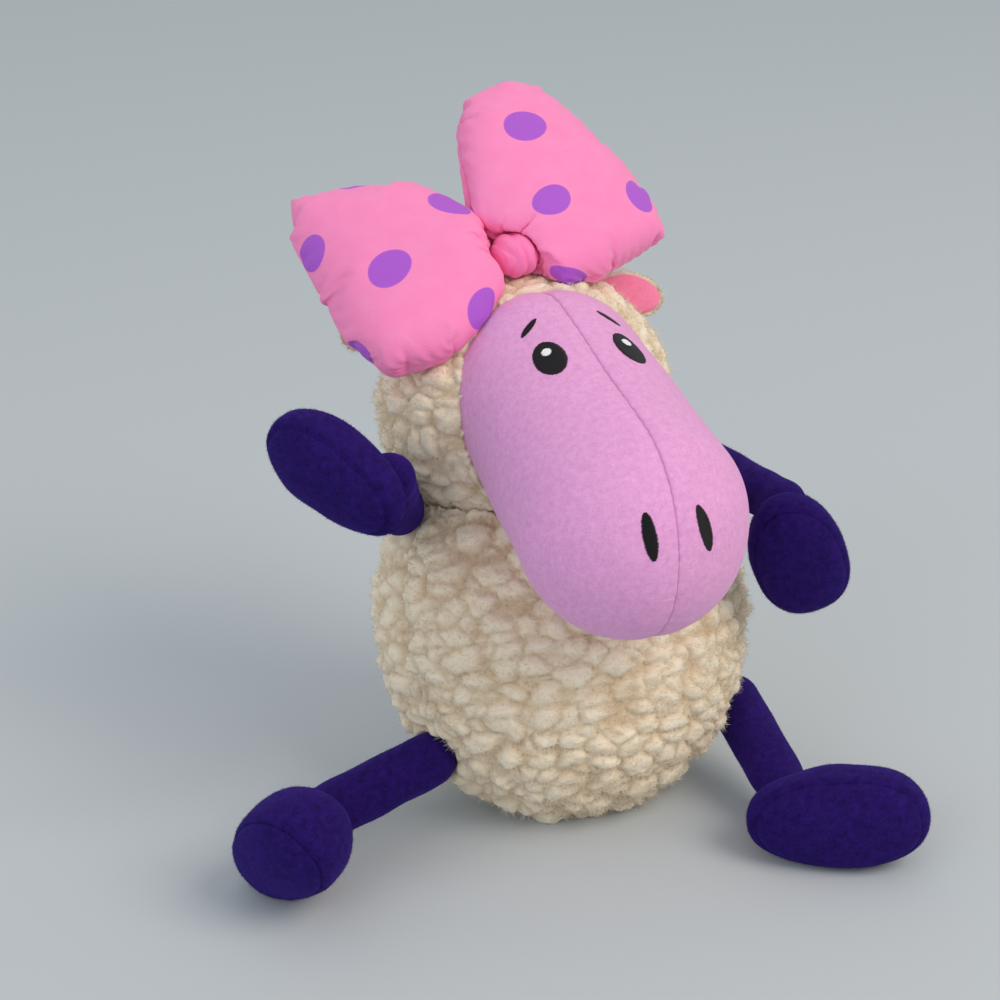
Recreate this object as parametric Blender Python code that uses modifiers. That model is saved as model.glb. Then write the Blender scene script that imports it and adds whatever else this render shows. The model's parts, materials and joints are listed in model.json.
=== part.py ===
"""Stuffed toy sheep that sits leaning back, with a long muzzle and a big spotted bow.

Units are metres and +Z is up. The sheep faces -Y, so its own left side is +X.
The origin is the middle of the flat patch that it sits on.
"""
import math

import bmesh
import bpy
from mathutils import Euler, Matrix, Vector
from mathutils.bvhtree import BVHTree

# Body: an upright egg of stuffing in two fleece panels, leaning back
BODY_HALF_WIDTH = 0.063
BODY_HALF_DEPTH = 0.047
BODY_HALF_HEIGHT = 0.069
BODY_TAPER_SHARE = 0.03
BODY_LEAN = math.radians(25.0)
SEAT_FLAT_DEPTH = 0.0051
BODY_SEAM_FORWARD = 0.012
FLEECE_THICKNESS = 0.0035

# Head: a fleece ball sunk in the neck opening, with a tapered velour muzzle
HEAD_HALF_WIDTH = 0.048
HEAD_RADIUS = 0.044
HEAD_SIDE_OFFSET = 0.006
HEAD_FORWARD = 0.0132
HEAD_SINK = 0.0437
HEAD_TURN = math.radians(0.5)
MUZZLE_START_FORWARD = 0.0238
MUZZLE_START_RISE = 0.0112
MUZZLE_LENGTH = 0.0633
MUZZLE_DROOP = math.radians(18.5)
BROW_RADIUS = 0.0322
SNOUT_RADIUS = 0.0348
VELOUR_THICKNESS = 0.0012
CHIN_CLEARANCE = 0.0006

# Embroidery on the face: thread thickness, then half length and half width of each shape
THREAD_THICKNESS = 0.0006
EYE_HALF_HEIGHT = 0.0078
EYE_HALF_WIDTH = 0.0052
EYE_SIDE_ANGLE = math.radians(23.0)
EYE_ALONG_MUZZLE = 0.021
GLINT_RADIUS = 0.0016
GLINT_RISE = 0.0026
BROW_LINE_HALF_LENGTH = 0.0042
BROW_LINE_HALF_WIDTH = 0.0009
BROW_LINE_SIDE_ANGLE = math.radians(24.0)
BROW_LINE_ALONG_MUZZLE = 0.004
BROW_LINE_SLANT = math.radians(38.0)
NOSTRIL_HALF_LENGTH = 0.0070
NOSTRIL_HALF_WIDTH = 0.0022
NOSTRIL_SIDE_ANGLE = math.radians(17.0)
NOSTRIL_RISE_ANGLE = math.radians(33.0)
PATCH_REACH = 0.012

# Ears: a fleece leaf lined with pink, hinged where it is sewn in
EAR_LENGTH = 0.026
EAR_HALF_WIDTH = 0.0078
EAR_ROOT_RADIUS = 0.0042
EAR_ROOT_HEIGHT = 0.0038
EAR_THICKNESS = 0.0062
EAR_WIDEST_SHARE = 0.6
EAR_SIDE_ANGLE = math.radians(43.0)
EAR_BACK_ANGLE = math.radians(36.0)
EAR_AIM = Vector((0.90, -0.42, -0.10))
EAR_FACING = Vector((-0.10, -0.88, 0.46))

# Bow: two stuffed cotton loops that meet at a pleated knot on top of the head
KNOT_RADIUS = 0.0068
KNOT_SIDE_ANGLE = math.radians(-5.0)
KNOT_BACK_ANGLE = math.radians(-4.0)
LOOP_LENGTH = 0.060
LOOP_WIDTH = 0.077
LOOP_THICKNESS = 0.030
LOOP_NECK_SHARE = 0.42
LOOP_FLARE_SHARE = 1.1
LOOP_SQUARE_SHARE = 0.58
COTTON_THICKNESS = 0.0008
LOOP_RIGHT_AIM = Vector((-0.938, 0.273, -0.211))
LOOP_RIGHT_FACING = Vector((-0.27, -0.54, 0.80))
LOOP_RIGHT_SKEW_SHARE = -0.32
LOOP_LEFT_AIM = Vector((0.704, 0.613, 0.361))
LOOP_LEFT_FACING = Vector((0.106, -0.590, 0.801))
LOOP_LEFT_SKEW_SHARE = 0.15

# Tail: a small fleece tuft low on the back
TAIL_HALF_WIDTH = 0.013
TAIL_HALF_LENGTH = 0.015
TAIL_HALF_HEIGHT = 0.011
TAIL_RISE_ANGLE = math.radians(-30.0)

# Limbs: a stuffed sleeve that ends in a boot with its own sole
PLUSH_THICKNESS = 0.0012
LEG_RADIUS = 0.0088
LEG_LENGTH = 0.046
LEG_ROOT_HEIGHT = 0.002
LEG_SIDE_ANGLE = math.radians(84.0)
LEG_RISE_ANGLE = math.radians(-34.0)
ARM_RADIUS = 0.0078
ARM_LENGTH = 0.040
ARM_ROOT_HEIGHT = 0.0065
ARM_SIDE_ANGLE = math.radians(71.0)
ARM_RISE_ANGLE = math.radians(33.0)
FOOT_LENGTH = 0.058
FOOT_WIDTH = 0.035
FOOT_HEIGHT = 0.038
FOOT_HEEL = 0.013
HAND_LENGTH = 0.048
HAND_WIDTH = 0.033
HAND_HEIGHT = 0.027
HAND_HEEL = 0.012
HEEL_TAPER_SHARE = 0.16
SOLE_BULGE_SHARE = 0.72
SOLE_SEAM_SHARE = 0.30
BALL_SINK_SHARE = 0.80
FOOT_FLAT_DEPTH = 0.0005

# Clearances, reach of the cutters, and joint travel that the sockets leave room for
GAP = 0.0003
NECK_CLEARANCE = 0.0009
SOCKET_CLEARANCE = 0.0008
OVERRUN = 0.05
LEG_TRAVEL = (math.radians(-15.0), math.radians(25.0))
ARM_LEFT_TRAVEL = (math.radians(-10.0), math.radians(45.0))
ARM_RIGHT_TRAVEL = (math.radians(-40.0), math.radians(15.0))
ANKLE_TRAVEL = (math.radians(-20.0), math.radians(20.0))
EAR_TRAVEL = (math.radians(-12.0), math.radians(20.0))
NOD_TRAVEL = (0.0, math.radians(22.0))
TRAVEL_STEPS = 5

# Colours of the cloths, as sRGB
CREAM_FLEECE = (0.90, 0.83, 0.70)
LILAC_VELOUR = (0.87, 0.61, 0.81)
PINK_COTTON = (0.98, 0.49, 0.72)
PINK_LINING = (0.97, 0.47, 0.62)
INDIGO_PLUSH = (0.20, 0.10, 0.45)
BLACK_THREAD = (0.03, 0.03, 0.03)
WHITE_THREAD = (0.95, 0.95, 0.95)
FIBRE_WHITE = (0.92, 0.91, 0.88)

OBJECT_NAME = "plush_sheep"


def clear_scene():
    for thing in list(bpy.data.objects):
        bpy.data.objects.remove(thing, do_unlink=True)


def new_collection(name):
    group = bpy.data.collections.new(name)
    bpy.context.scene.collection.children.link(group)
    return group


clear_scene()
PARTS = new_collection(OBJECT_NAME)
CUTTERS = new_collection(OBJECT_NAME + "_cutters")


def linear(channel):
    """One sRGB channel as linear light."""
    return channel / 12.92 if channel <= 0.04045 else ((channel + 0.055) / 1.055) ** 2.4


def cloth_material(name, colour, roughness):
    finish = bpy.data.materials.new(name)
    finish.use_nodes = True
    shader = finish.node_tree.nodes["Principled BSDF"]
    shader.inputs["Base Color"].default_value = [linear(c) for c in colour] + [1.0]
    shader.inputs["Roughness"].default_value = roughness
    shader.inputs["Metallic"].default_value = 0.0
    return finish


FLEECE = cloth_material("cream_fleece", CREAM_FLEECE, 0.95)
VELOUR = cloth_material("lilac_velour", LILAC_VELOUR, 0.85)
COTTON = cloth_material("pink_cotton", PINK_COTTON, 0.80)
LINING = cloth_material("pink_lining", PINK_LINING, 0.85)
PLUSH = cloth_material("indigo_plush", INDIGO_PLUSH, 0.90)
BLACK = cloth_material("black_thread", BLACK_THREAD, 0.55)
WHITE = cloth_material("white_thread", WHITE_THREAD, 0.55)
FIBRE = cloth_material("polyester_fibre", FIBRE_WHITE, 0.95)


# Frames: an empty on each joint, or at the middle of a fixed group
def frame_at(name, place, turn):
    empty = bpy.data.objects.new(name, None)
    empty.empty_display_size = GAP
    empty.matrix_world = Matrix.Translation(place) @ turn.to_4x4()
    CUTTERS.objects.link(empty)
    return empty


def turn_from(x_axis, z_axis):
    """A rotation whose Z is z_axis and whose X lies as near x_axis as it can."""
    up = z_axis.normalized()
    side = up.cross(x_axis).normalized()
    return Matrix((side.cross(up), side, up)).transposed()


def add_piece(name, mesh, frame, finish, local=None):
    """A named sub-part that rides on a frame."""
    piece = bpy.data.objects.new(name, mesh)
    piece.parent = frame
    if local is not None:
        piece.matrix_local = local
    piece.data.materials.append(finish)
    PARTS.objects.link(piece)
    for face in mesh.polygons:
        face.use_smooth = True
    return piece


def add_cutter(name, mesh, frame, local=None):
    """A form that only shapes other pieces."""
    cutter = bpy.data.objects.new(name, mesh)
    cutter.parent = frame
    if local is not None:
        cutter.matrix_local = local
    cutter.hide_render = True
    cutter.display_type = "WIRE"
    CUTTERS.objects.link(cutter)
    return cutter


def combine(piece, other, operation="DIFFERENCE"):
    """Cut, join or keep what is shared with another form."""
    step = piece.modifiers.new(operation.lower() + "_" + other.name, "BOOLEAN")
    step.operation = operation
    step.solver = "EXACT"
    step.object = other


def tree_of(thing):
    bpy.context.view_layer.update()
    shape = thing.evaluated_get(bpy.context.evaluated_depsgraph_get())
    mesh = shape.to_mesh()
    points = [thing.matrix_world @ v.co for v in mesh.vertices]
    tree = BVHTree.FromPolygons(points, [tuple(p.vertices) for p in mesh.polygons])
    shape.to_mesh_clear()
    return tree


def cut_where_met(piece, cutter):
    """Cut a piece only where the other form crosses its surface."""
    if tree_of(piece).overlap(tree_of(cutter)):
        combine(piece, cutter)


# Forms: every soft shape starts as a ball or a turned outline
def ball_mesh(name, radii, segments, rings, shape=None):
    """A ball of radius one, reshaped point by point, then scaled to its radii."""
    mesh = bpy.data.meshes.new(name)
    bm = bmesh.new()
    bmesh.ops.create_uvsphere(bm, u_segments=segments, v_segments=rings, radius=1.0)
    for vert in bm.verts:
        point = shape(vert.co) if shape else vert.co
        vert.co = Vector(a * b for a, b in zip(point, radii))
    bm.to_mesh(mesh)
    bm.free()
    return mesh


def box_mesh(name, low, high):
    """A box between two corners."""
    mesh = bpy.data.meshes.new(name)
    bm = bmesh.new()
    bmesh.ops.create_cube(bm, size=1.0)
    size = high - low
    bmesh.ops.scale(bm, vec=size, verts=bm.verts)
    bmesh.ops.translate(bm, vec=(low + high) / 2, verts=bm.verts)
    bm.to_mesh(mesh)
    bm.free()
    return mesh


def turned(name, outline, steps, add, *where):
    """A solid turned round Z from an outline that starts and ends on the axis."""
    mesh = bpy.data.meshes.new(name)
    points = [(radius, 0.0, height) for radius, height in outline]
    mesh.from_pydata(points, [(i, i + 1) for i in range(len(points) - 1)], [])
    piece = add(name, mesh, *where)
    spin = piece.modifiers.new("turn", "SCREW")
    spin.axis = "Z"
    spin.steps = steps
    spin.render_steps = steps
    spin.use_merge_vertices = True
    spin.merge_threshold = GAP / 10
    spin.use_smooth_shade = True
    return piece


def arc(radius, height, first, last, count):
    """Points on a round, from one angle above the level to another."""
    angles = [math.radians(first + (last - first) * i / count) for i in range(count + 1)]
    return [(max(radius * math.cos(a), 0.0), height + radius * math.sin(a)) for a in angles]


def hull_mesh(name, points):
    """The tight skin round a cloud of points."""
    mesh = bpy.data.meshes.new(name)
    bm = bmesh.new()
    for point in points:
        bm.verts.new(point)
    bmesh.ops.convex_hull(bm, input=bm.verts)
    spare = [v for v in bm.verts if not v.link_faces]
    bmesh.ops.delete(bm, geom=spare, context="VERTS")
    bmesh.ops.recalc_face_normals(bm, faces=bm.faces)
    bm.to_mesh(mesh)
    bm.free()
    return mesh


def ball_points(centre, radius, segments=12, rings=7):
    points = []
    for ring in range(rings + 1):
        rise = math.pi * ring / rings
        for step in range(segments):
            side = 2 * math.pi * step / segments
            around = Vector((math.cos(side), math.sin(side), 0.0)) * math.sin(rise)
            points.append(centre + radius * (around + Vector((0.0, 0.0, math.cos(rise)))))
    return points


def swept_limb_mesh(name, centre, reach, axis, travel, radius):
    """The space that a round limb passes through as its hinge turns."""
    points = ball_points(centre, radius)
    for step in range(TRAVEL_STEPS + 1):
        angle = travel[0] + (travel[1] - travel[0]) * step / TRAVEL_STEPS
        points += ball_points(centre + Matrix.Rotation(angle, 3, axis) @ reach, radius)
    return hull_mesh(name, points)


# Body
body_support = math.hypot(BODY_HALF_DEPTH * math.sin(BODY_LEAN), BODY_HALF_HEIGHT * math.cos(BODY_LEAN))
body_drift = ((BODY_HALF_HEIGHT ** 2 - BODY_HALF_DEPTH ** 2)
              * math.sin(BODY_LEAN) * math.cos(BODY_LEAN) / body_support)
BODY_CENTRE = Vector((0.0, body_drift, body_support - SEAT_FLAT_DEPTH))
BODY_TURN = Euler((-BODY_LEAN, 0.0, 0.0)).to_matrix()
BODY_RADII = Vector((BODY_HALF_WIDTH, BODY_HALF_DEPTH, BODY_HALF_HEIGHT))
body_frame = frame_at("body_frame", BODY_CENTRE, BODY_TURN)
floor_frame = frame_at("floor_frame", Vector((0.0, 0.0, 0.0)), Matrix.Identity(3))


def body_shape(point):
    """An egg: a little fuller below its middle than above it."""
    swell = 1.0 - BODY_TAPER_SHARE * point.z
    return Vector((point.x * swell, point.y * swell, point.z))


def body_surface(side_angle, rise_angle, side):
    """A place on the fleece and the direction straight out of it."""
    flat = math.cos(rise_angle)
    unit = Vector((side * flat * math.sin(side_angle), -flat * math.cos(side_angle), math.sin(rise_angle)))
    point = Vector(a * b for a, b in zip(body_shape(unit), BODY_RADII))
    slope = Vector(a / b for a, b in zip(unit, BODY_RADII)).normalized()
    return BODY_CENTRE + BODY_TURN @ point, BODY_TURN @ slope


def body_ball(name, shrink):
    return ball_mesh(name, BODY_RADII - Vector((shrink,) * 3), 24, 15, body_shape)


def slab(name, low_z, high_z):
    corner = Vector((OVERRUN * 4, OVERRUN * 4, 0.0))
    return box_mesh(name, -corner + Vector((0.0, 0.0, low_z)), corner + Vector((0.0, 0.0, high_z)))


floor = add_cutter("floor", slab("floor", -OVERRUN, 0.0), floor_frame)
inner_floor = add_cutter("inner_floor", slab("inner_floor", -OVERRUN, FLEECE_THICKNESS), floor_frame)
filling_floor = add_cutter(
    "filling_floor", slab("filling_floor", -OVERRUN, FLEECE_THICKNESS + GAP), floor_frame)
body_inside = add_cutter("body_inside", body_ball("body_inside", FLEECE_THICKNESS), body_frame)
combine(body_inside, inner_floor)

body_stuffing = add_piece(
    "body_stuffing", body_ball("body_stuffing", FLEECE_THICKNESS + GAP), body_frame, FIBRE)
combine(body_stuffing, filling_floor)


def half_space(name, direction, start):
    """Everything on one side of a plane square to X or Y."""
    reach = Vector((OVERRUN * 4,) * 3)
    low, high = -reach, reach.copy()
    index = 0 if abs(direction.x) > abs(direction.y) else 1
    if direction[index] > 0:
        low[index] = start
    else:
        high[index] = start
    return box_mesh(name, low, high)


behind_seam = add_cutter(
    "behind_seam", half_space("behind_seam", Vector((0, 1, 0)), -BODY_SEAM_FORWARD - GAP / 2), body_frame)
before_seam = add_cutter(
    "before_seam", half_space("before_seam", Vector((0, -1, 0)), -BODY_SEAM_FORWARD + GAP / 2), body_frame)
body_front = add_piece("body_front_fleece", body_ball("body_front_fleece", 0.0), body_frame, FLEECE)
body_back = add_piece("body_back_fleece", body_ball("body_back_fleece", 0.0), body_frame, FLEECE)
for panel, cutter in ((body_front, behind_seam), (body_back, before_seam)):
    combine(panel, cutter)
    combine(panel, body_inside)
    combine(panel, floor)

# Head
HEAD_CENTRE = BODY_CENTRE + BODY_TURN @ Vector(
    (-HEAD_SIDE_OFFSET, -HEAD_FORWARD, BODY_HALF_HEIGHT + HEAD_RADIUS - HEAD_SINK))
HEAD_TURN_MATRIX = Euler((0.0, 0.0, HEAD_TURN)).to_matrix()
HEAD_RADII = Vector((HEAD_HALF_WIDTH, HEAD_RADIUS, HEAD_RADIUS))
head_frame = frame_at("neck_joint", HEAD_CENTRE, HEAD_TURN_MATRIX)
MUZZLE_START = Vector((0.0, -MUZZLE_START_FORWARD, MUZZLE_START_RISE))
MUZZLE_PLACE = Matrix.Translation(MUZZLE_START) @ Matrix.Rotation(MUZZLE_DROOP - math.pi / 2, 4, "X")


def head_ball(name, grow):
    """A ball with its poles on the nod axis, so that it turns freely in the neck opening."""
    radii = Vector((HEAD_RADII.z, HEAD_RADII.y, HEAD_RADII.x)) + Vector((grow,) * 3)
    mesh = ball_mesh(name, radii, 24, 12)
    mesh.transform(Matrix.Rotation(math.pi / 2, 4, "Y"))
    return mesh


def muzzle_outline(grow):
    """A long rounded cone: the brow end above, the snout below."""
    top = arc(BROW_RADIUS + grow, 0.0, 90, 0, 5)
    snout = arc(SNOUT_RADIUS + grow, -MUZZLE_LENGTH, 0, -90, 6)
    return top + snout


def muzzle_form(name, grow):
    return turned(name, muzzle_outline(grow), 22, add_cutter, head_frame, MUZZLE_PLACE)


head_inside = add_cutter("head_inside", head_ball("head_inside", -FLEECE_THICKNESS), head_frame)
head_clear = add_cutter("head_clear", head_ball("head_clear", GAP), head_frame)
neck_opening = add_cutter("neck_opening", head_ball("neck_opening", NECK_CLEARANCE), head_frame)
muzzle_inside = muzzle_form("muzzle_inside", -VELOUR_THICKNESS)
muzzle_clear = muzzle_form("muzzle_clear", GAP)
muzzle_swept = muzzle_form("muzzle_swept", CHIN_CLEARANCE)

head_fleece = add_piece("head_fleece", head_ball("head_fleece", 0.0), head_frame, FLEECE)
combine(head_fleece, head_inside)
combine(head_fleece, muzzle_clear)

head_stuffing = add_piece(
    "head_stuffing", head_ball("head_stuffing", -FLEECE_THICKNESS - GAP), head_frame, FIBRE)
muzzle_filling = muzzle_form("muzzle_filling", -VELOUR_THICKNESS - GAP)
combine(head_stuffing, muzzle_filling, "UNION")

left_half = add_cutter("left_half", half_space("left_half", Vector((1, 0, 0)), -GAP / 2), head_frame)
right_half = add_cutter("right_half", half_space("right_half", Vector((-1, 0, 0)), GAP / 2), head_frame)
for name, far_half in (("face_left_panel", right_half), ("face_right_panel", left_half)):
    panel = turned(name, muzzle_outline(0.0), 22, add_piece, head_frame, VELOUR, MUZZLE_PLACE)
    combine(panel, far_half)
    combine(panel, muzzle_inside)
    combine(panel, head_clear)

for piece in (body_front, body_back, body_stuffing):
    cut_where_met(piece, neck_opening)
    cut_where_met(piece, muzzle_swept)


# Embroidery: thin patches that follow the muzzle
def thread_layer(name, low):
    """The muzzle form at the under and the upper side of one layer of thread."""
    return muzzle_form(name + "_under", low), muzzle_form(name + "_over", low + THREAD_THICKNESS)


thread_one = thread_layer("thread_one", GAP)
thread_two = thread_layer("thread_two", GAP + THREAD_THICKNESS + GAP)


def patch(name, place, half_width, half_height, layer, finish):
    """An oval stitched on the muzzle, cut from the layer of thread."""
    mesh = bpy.data.meshes.new(name)
    bm = bmesh.new()
    bmesh.ops.create_cone(bm, cap_ends=True, segments=18, radius1=1.0, radius2=1.0, depth=PATCH_REACH * 2)
    bmesh.ops.scale(bm, vec=(half_width, half_height, 1.0), verts=bm.verts)
    bm.to_mesh(mesh)
    bm.free()
    piece = add_piece(name, mesh, head_frame, finish, place)
    combine(piece, layer[1], "INTERSECT")
    combine(piece, layer[0])
    return piece


def on_muzzle(along, side_angle, roll):
    """A place on the muzzle's upper side, facing straight out of it."""
    radius = BROW_RADIUS + (SNOUT_RADIUS - BROW_RADIUS) * along / MUZZLE_LENGTH
    turn = Matrix.Rotation(side_angle, 4, "Z") @ Matrix.Rotation(math.pi / 2, 4, "X")
    start = MUZZLE_PLACE @ Matrix.Translation(Vector((0.0, 0.0, -along))) @ turn
    return start @ Matrix.Translation(Vector((0.0, 0.0, radius))) @ Matrix.Rotation(roll, 4, "Z")


def on_snout(side_angle, rise_angle):
    """A place on the round end of the muzzle, facing straight out of it."""
    centre = MUZZLE_PLACE @ Matrix.Translation(Vector((0.0, 0.0, -MUZZLE_LENGTH)))
    turn = Matrix.Rotation(-side_angle, 4, "Y") @ Matrix.Rotation(math.pi - rise_angle, 4, "X")
    return centre @ turn @ Matrix.Translation(Vector((0.0, 0.0, SNOUT_RADIUS)))


for word, side in (("left", 1), ("right", -1)):
    eye = on_muzzle(EYE_ALONG_MUZZLE, side * EYE_SIDE_ANGLE, 0.0)
    patch("eye_" + word, eye, EYE_HALF_WIDTH, EYE_HALF_HEIGHT, thread_one, BLACK)
    glint = eye @ Matrix.Translation(Vector((0.0, GLINT_RISE, 0.0)))
    patch("eye_glint_" + word, glint, GLINT_RADIUS, GLINT_RADIUS, thread_two, WHITE)
    brow = on_muzzle(BROW_LINE_ALONG_MUZZLE, side * BROW_LINE_SIDE_ANGLE, -side * BROW_LINE_SLANT)
    patch("brow_" + word, brow, BROW_LINE_HALF_LENGTH, BROW_LINE_HALF_WIDTH, thread_one, BLACK)
    nostril = on_snout(side * NOSTRIL_SIDE_ANGLE, NOSTRIL_RISE_ANGLE)
    patch("nostril_" + word, nostril, NOSTRIL_HALF_WIDTH, NOSTRIL_HALF_LENGTH, thread_one, BLACK)


# Places on the head ball
def head_surface(side_angle, back_angle):
    """A place on the top of the head ball and the direction straight out of it."""
    unit = Vector((math.sin(side_angle), math.sin(back_angle) * math.cos(side_angle),
                   math.cos(back_angle) * math.cos(side_angle)))
    point = Vector(a * b for a, b in zip(unit, HEAD_RADII))
    slope = Vector(a / b for a, b in zip(unit, HEAD_RADII)).normalized()
    return HEAD_CENTRE + HEAD_TURN_MATRIX @ point, HEAD_TURN_MATRIX @ slope


# Ears
def ear_shape(point):
    """A leaf: round at the root, widest past its middle, blunt at the tip."""
    along = (point.x + 1.0) / 2.0
    leaf = EAR_ROOT_RADIUS / EAR_HALF_WIDTH
    width = leaf + (1.0 - leaf) * math.sin(math.pi / 2 * min(along / EAR_WIDEST_SHARE, 1.0))
    return Vector((point.x, point.y * width, point.z))


JOINTS = []


def note_joint(name, place, axis, travel):
    JOINTS.append((name, place, axis.normalized(), travel))


note_joint("neck", HEAD_CENTRE, HEAD_TURN_MATRIX @ Vector((-1.0, 0.0, 0.0)), NOD_TRAVEL)


def mirrored(vector, side):
    return Vector((vector.x * side, vector.y, vector.z))


for word, side in (("left", 1), ("right", -1)):
    seat, out = head_surface(side * EAR_SIDE_ANGLE, EAR_BACK_ANGLE)
    root = seat + out * EAR_ROOT_HEIGHT
    ear_turn = HEAD_TURN_MATRIX @ turn_from(mirrored(EAR_AIM, side), mirrored(EAR_FACING, side))
    ear_frame = frame_at("ear_joint_" + word, root, ear_turn)
    note_joint("ear_" + word, root, ear_turn @ Vector((0.0, 1.0, 0.0)), EAR_TRAVEL)
    half = EAR_LENGTH / 2
    middle = Matrix.Translation(Vector((half - EAR_ROOT_RADIUS, 0.0, 0.0)))
    radii = Vector((half, EAR_HALF_WIDTH, EAR_THICKNESS / 2))
    front_box = box_mesh("ear_front", Vector((-OVERRUN, -OVERRUN, -GAP / 2)), Vector((OVERRUN,) * 3))
    back_box = box_mesh("ear_back", Vector((-OVERRUN,) * 3), Vector((OVERRUN, OVERRUN, GAP / 2)))
    for kind, box, finish in (("fleece", front_box, FLEECE), ("lining", back_box, LINING)):
        name = "ear_" + word + "_" + kind
        leaf = add_piece(name, ball_mesh(name, radii, 16, 8, ear_shape), ear_frame, finish, middle)
        combine(leaf, add_cutter(name + "_other_half", box, ear_frame))

# Bow
knot_seat, knot_out = head_surface(KNOT_SIDE_ANGLE, KNOT_BACK_ANGLE)
KNOT_CENTRE = knot_seat + knot_out * (KNOT_RADIUS + GAP)
knot_turn = turn_from(LOOP_LEFT_AIM - LOOP_RIGHT_AIM, knot_out)
knot_frame = frame_at("knot_frame", KNOT_CENTRE, knot_turn)
add_piece("bow_knot", ball_mesh("bow_knot", Vector((KNOT_RADIUS,) * 3), 16, 10), knot_frame, COTTON)
knot_clear = add_cutter(
    "knot_clear", ball_mesh("knot_clear", Vector((KNOT_RADIUS + GAP,) * 3), 16, 10), knot_frame)


def loop_shape(point):
    """A pillow: square in plan, drawn in towards the knot, thin at its edge."""
    around = math.hypot(point.x, point.y)
    if around == 0.0:
        return point.copy()
    angle = math.atan2(point.y, point.x)
    power = 2.0 / LOOP_SQUARE_SHARE
    reach = (abs(math.cos(angle)) ** power + abs(math.sin(angle)) ** power) ** (-1.0 / power)
    flat = Vector((math.cos(angle), math.sin(angle), 0.0)) * around * reach
    draw = LOOP_NECK_SHARE + (1.0 - LOOP_NECK_SHARE) * min((flat.x + 1.0) / LOOP_FLARE_SHARE, 1.0)
    return Vector((flat.x, flat.y * draw, point.z * draw ** 0.5))


def loop_ball(name, shrink, skew):
    """A loop, with its far edge slanted by a share of the way across."""
    radii = Vector((LOOP_LENGTH / 2 - shrink, LOOP_WIDTH / 2 - shrink, LOOP_THICKNESS / 2 - shrink))
    mesh = ball_mesh(name, radii, 20, 8, loop_shape)
    for vert in mesh.vertices:
        vert.co.x += skew * vert.co.y * (vert.co.x / radii.x + 1.0) / 2
    return mesh


for word, side, aim, facing, skew in (
        ("left", 1, LOOP_LEFT_AIM, LOOP_LEFT_FACING, LOOP_LEFT_SKEW_SHARE),
        ("right", -1, LOOP_RIGHT_AIM, LOOP_RIGHT_FACING, LOOP_RIGHT_SKEW_SHARE)):
    stem = "bow_" + word
    past_knot = add_cutter(
        stem + "_past_knot", half_space(stem, Vector((-side, 0, 0)), side * GAP), knot_frame)
    loop_frame = frame_at(stem + "_frame", KNOT_CENTRE, HEAD_TURN_MATRIX @ turn_from(aim, facing))
    middle = Matrix.Translation(Vector((LOOP_LENGTH / 2 + KNOT_RADIUS / 3, 0.0, 0.0)))
    near = add_cutter(stem + "_near", slab(stem + "_near", -GAP / 2, OVERRUN), loop_frame)
    far = add_cutter(stem + "_far", slab(stem + "_far", -OVERRUN, GAP / 2), loop_frame)
    inside = add_cutter(stem + "_inside", loop_ball(stem, COTTON_THICKNESS, skew), loop_frame, middle)
    front = add_piece(stem + "_front_cotton", loop_ball(stem, 0.0, skew), loop_frame, COTTON, middle)
    back = add_piece(stem + "_back_cotton", loop_ball(stem, 0.0, skew), loop_frame, COTTON, middle)
    filling = add_piece(
        stem + "_stuffing", loop_ball(stem, COTTON_THICKNESS + GAP, skew), loop_frame, FIBRE, middle)
    for piece in (front, back, filling):
        cut_where_met(piece, past_knot)
        cut_where_met(piece, knot_clear)
        cut_where_met(piece, head_clear)
        cut_where_met(piece, muzzle_clear)
    for piece, other_half in ((front, far), (back, near)):
        combine(piece, other_half)
        combine(piece, inside)


# Limbs
def sleeve_outline(radius, length):
    """The skin of a limb: closed at the root, open at the end where the stuffing shows."""
    inner = radius - PLUSH_THICKNESS
    outside = arc(radius, 0.0, 90, 0, 3) + arc(radius, -length, 0, -50, 2)
    inside = arc(inner, -length, -50, 0, 2) + arc(inner, 0.0, 0, 90, 3)
    return outside + inside


def roll_outline(radius, length):
    """The roll of stuffing inside a limb."""
    core = radius - PLUSH_THICKNESS - GAP
    return arc(core, 0.0, 90, 0, 3) + arc(core, -length, 0, -90, 3)


def boot_shape(point):
    """A boot: the heel narrower than the toe, the sole flatter than the top."""
    taper = 1.0 + HEEL_TAPER_SHARE * (point.x - 1.0) / 2.0
    drop = point.z if point.z > 0.0 else point.z * SOLE_BULGE_SHARE
    return Vector((point.x, point.y * taper, drop * taper))


def boot_ball(name, size, shrink):
    radii = Vector((size[0] / 2 - shrink, size[1] / 2 - shrink, size[2] / 2 - shrink))
    return ball_mesh(name, radii, 16, 9, boot_shape)


def boot_centre(size, heel, radius):
    """Where the middle of a boot lies, seen from its ankle."""
    forward = size[0] / 2 - heel
    share = -forward / (size[0] / 2)
    top = size[2] / 2 * math.sqrt(1.0 - share ** 2) * (1.0 + HEEL_TAPER_SHARE * (share - 1.0) / 2.0)
    return Vector((forward, 0.0, -top - radius * (1.0 - BALL_SINK_SHARE)))


def lowest(mesh, centre, turn):
    """How far a form reaches below its own frame once it is turned."""
    return min((turn @ (centre + v.co)).z for v in mesh.vertices)


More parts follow.
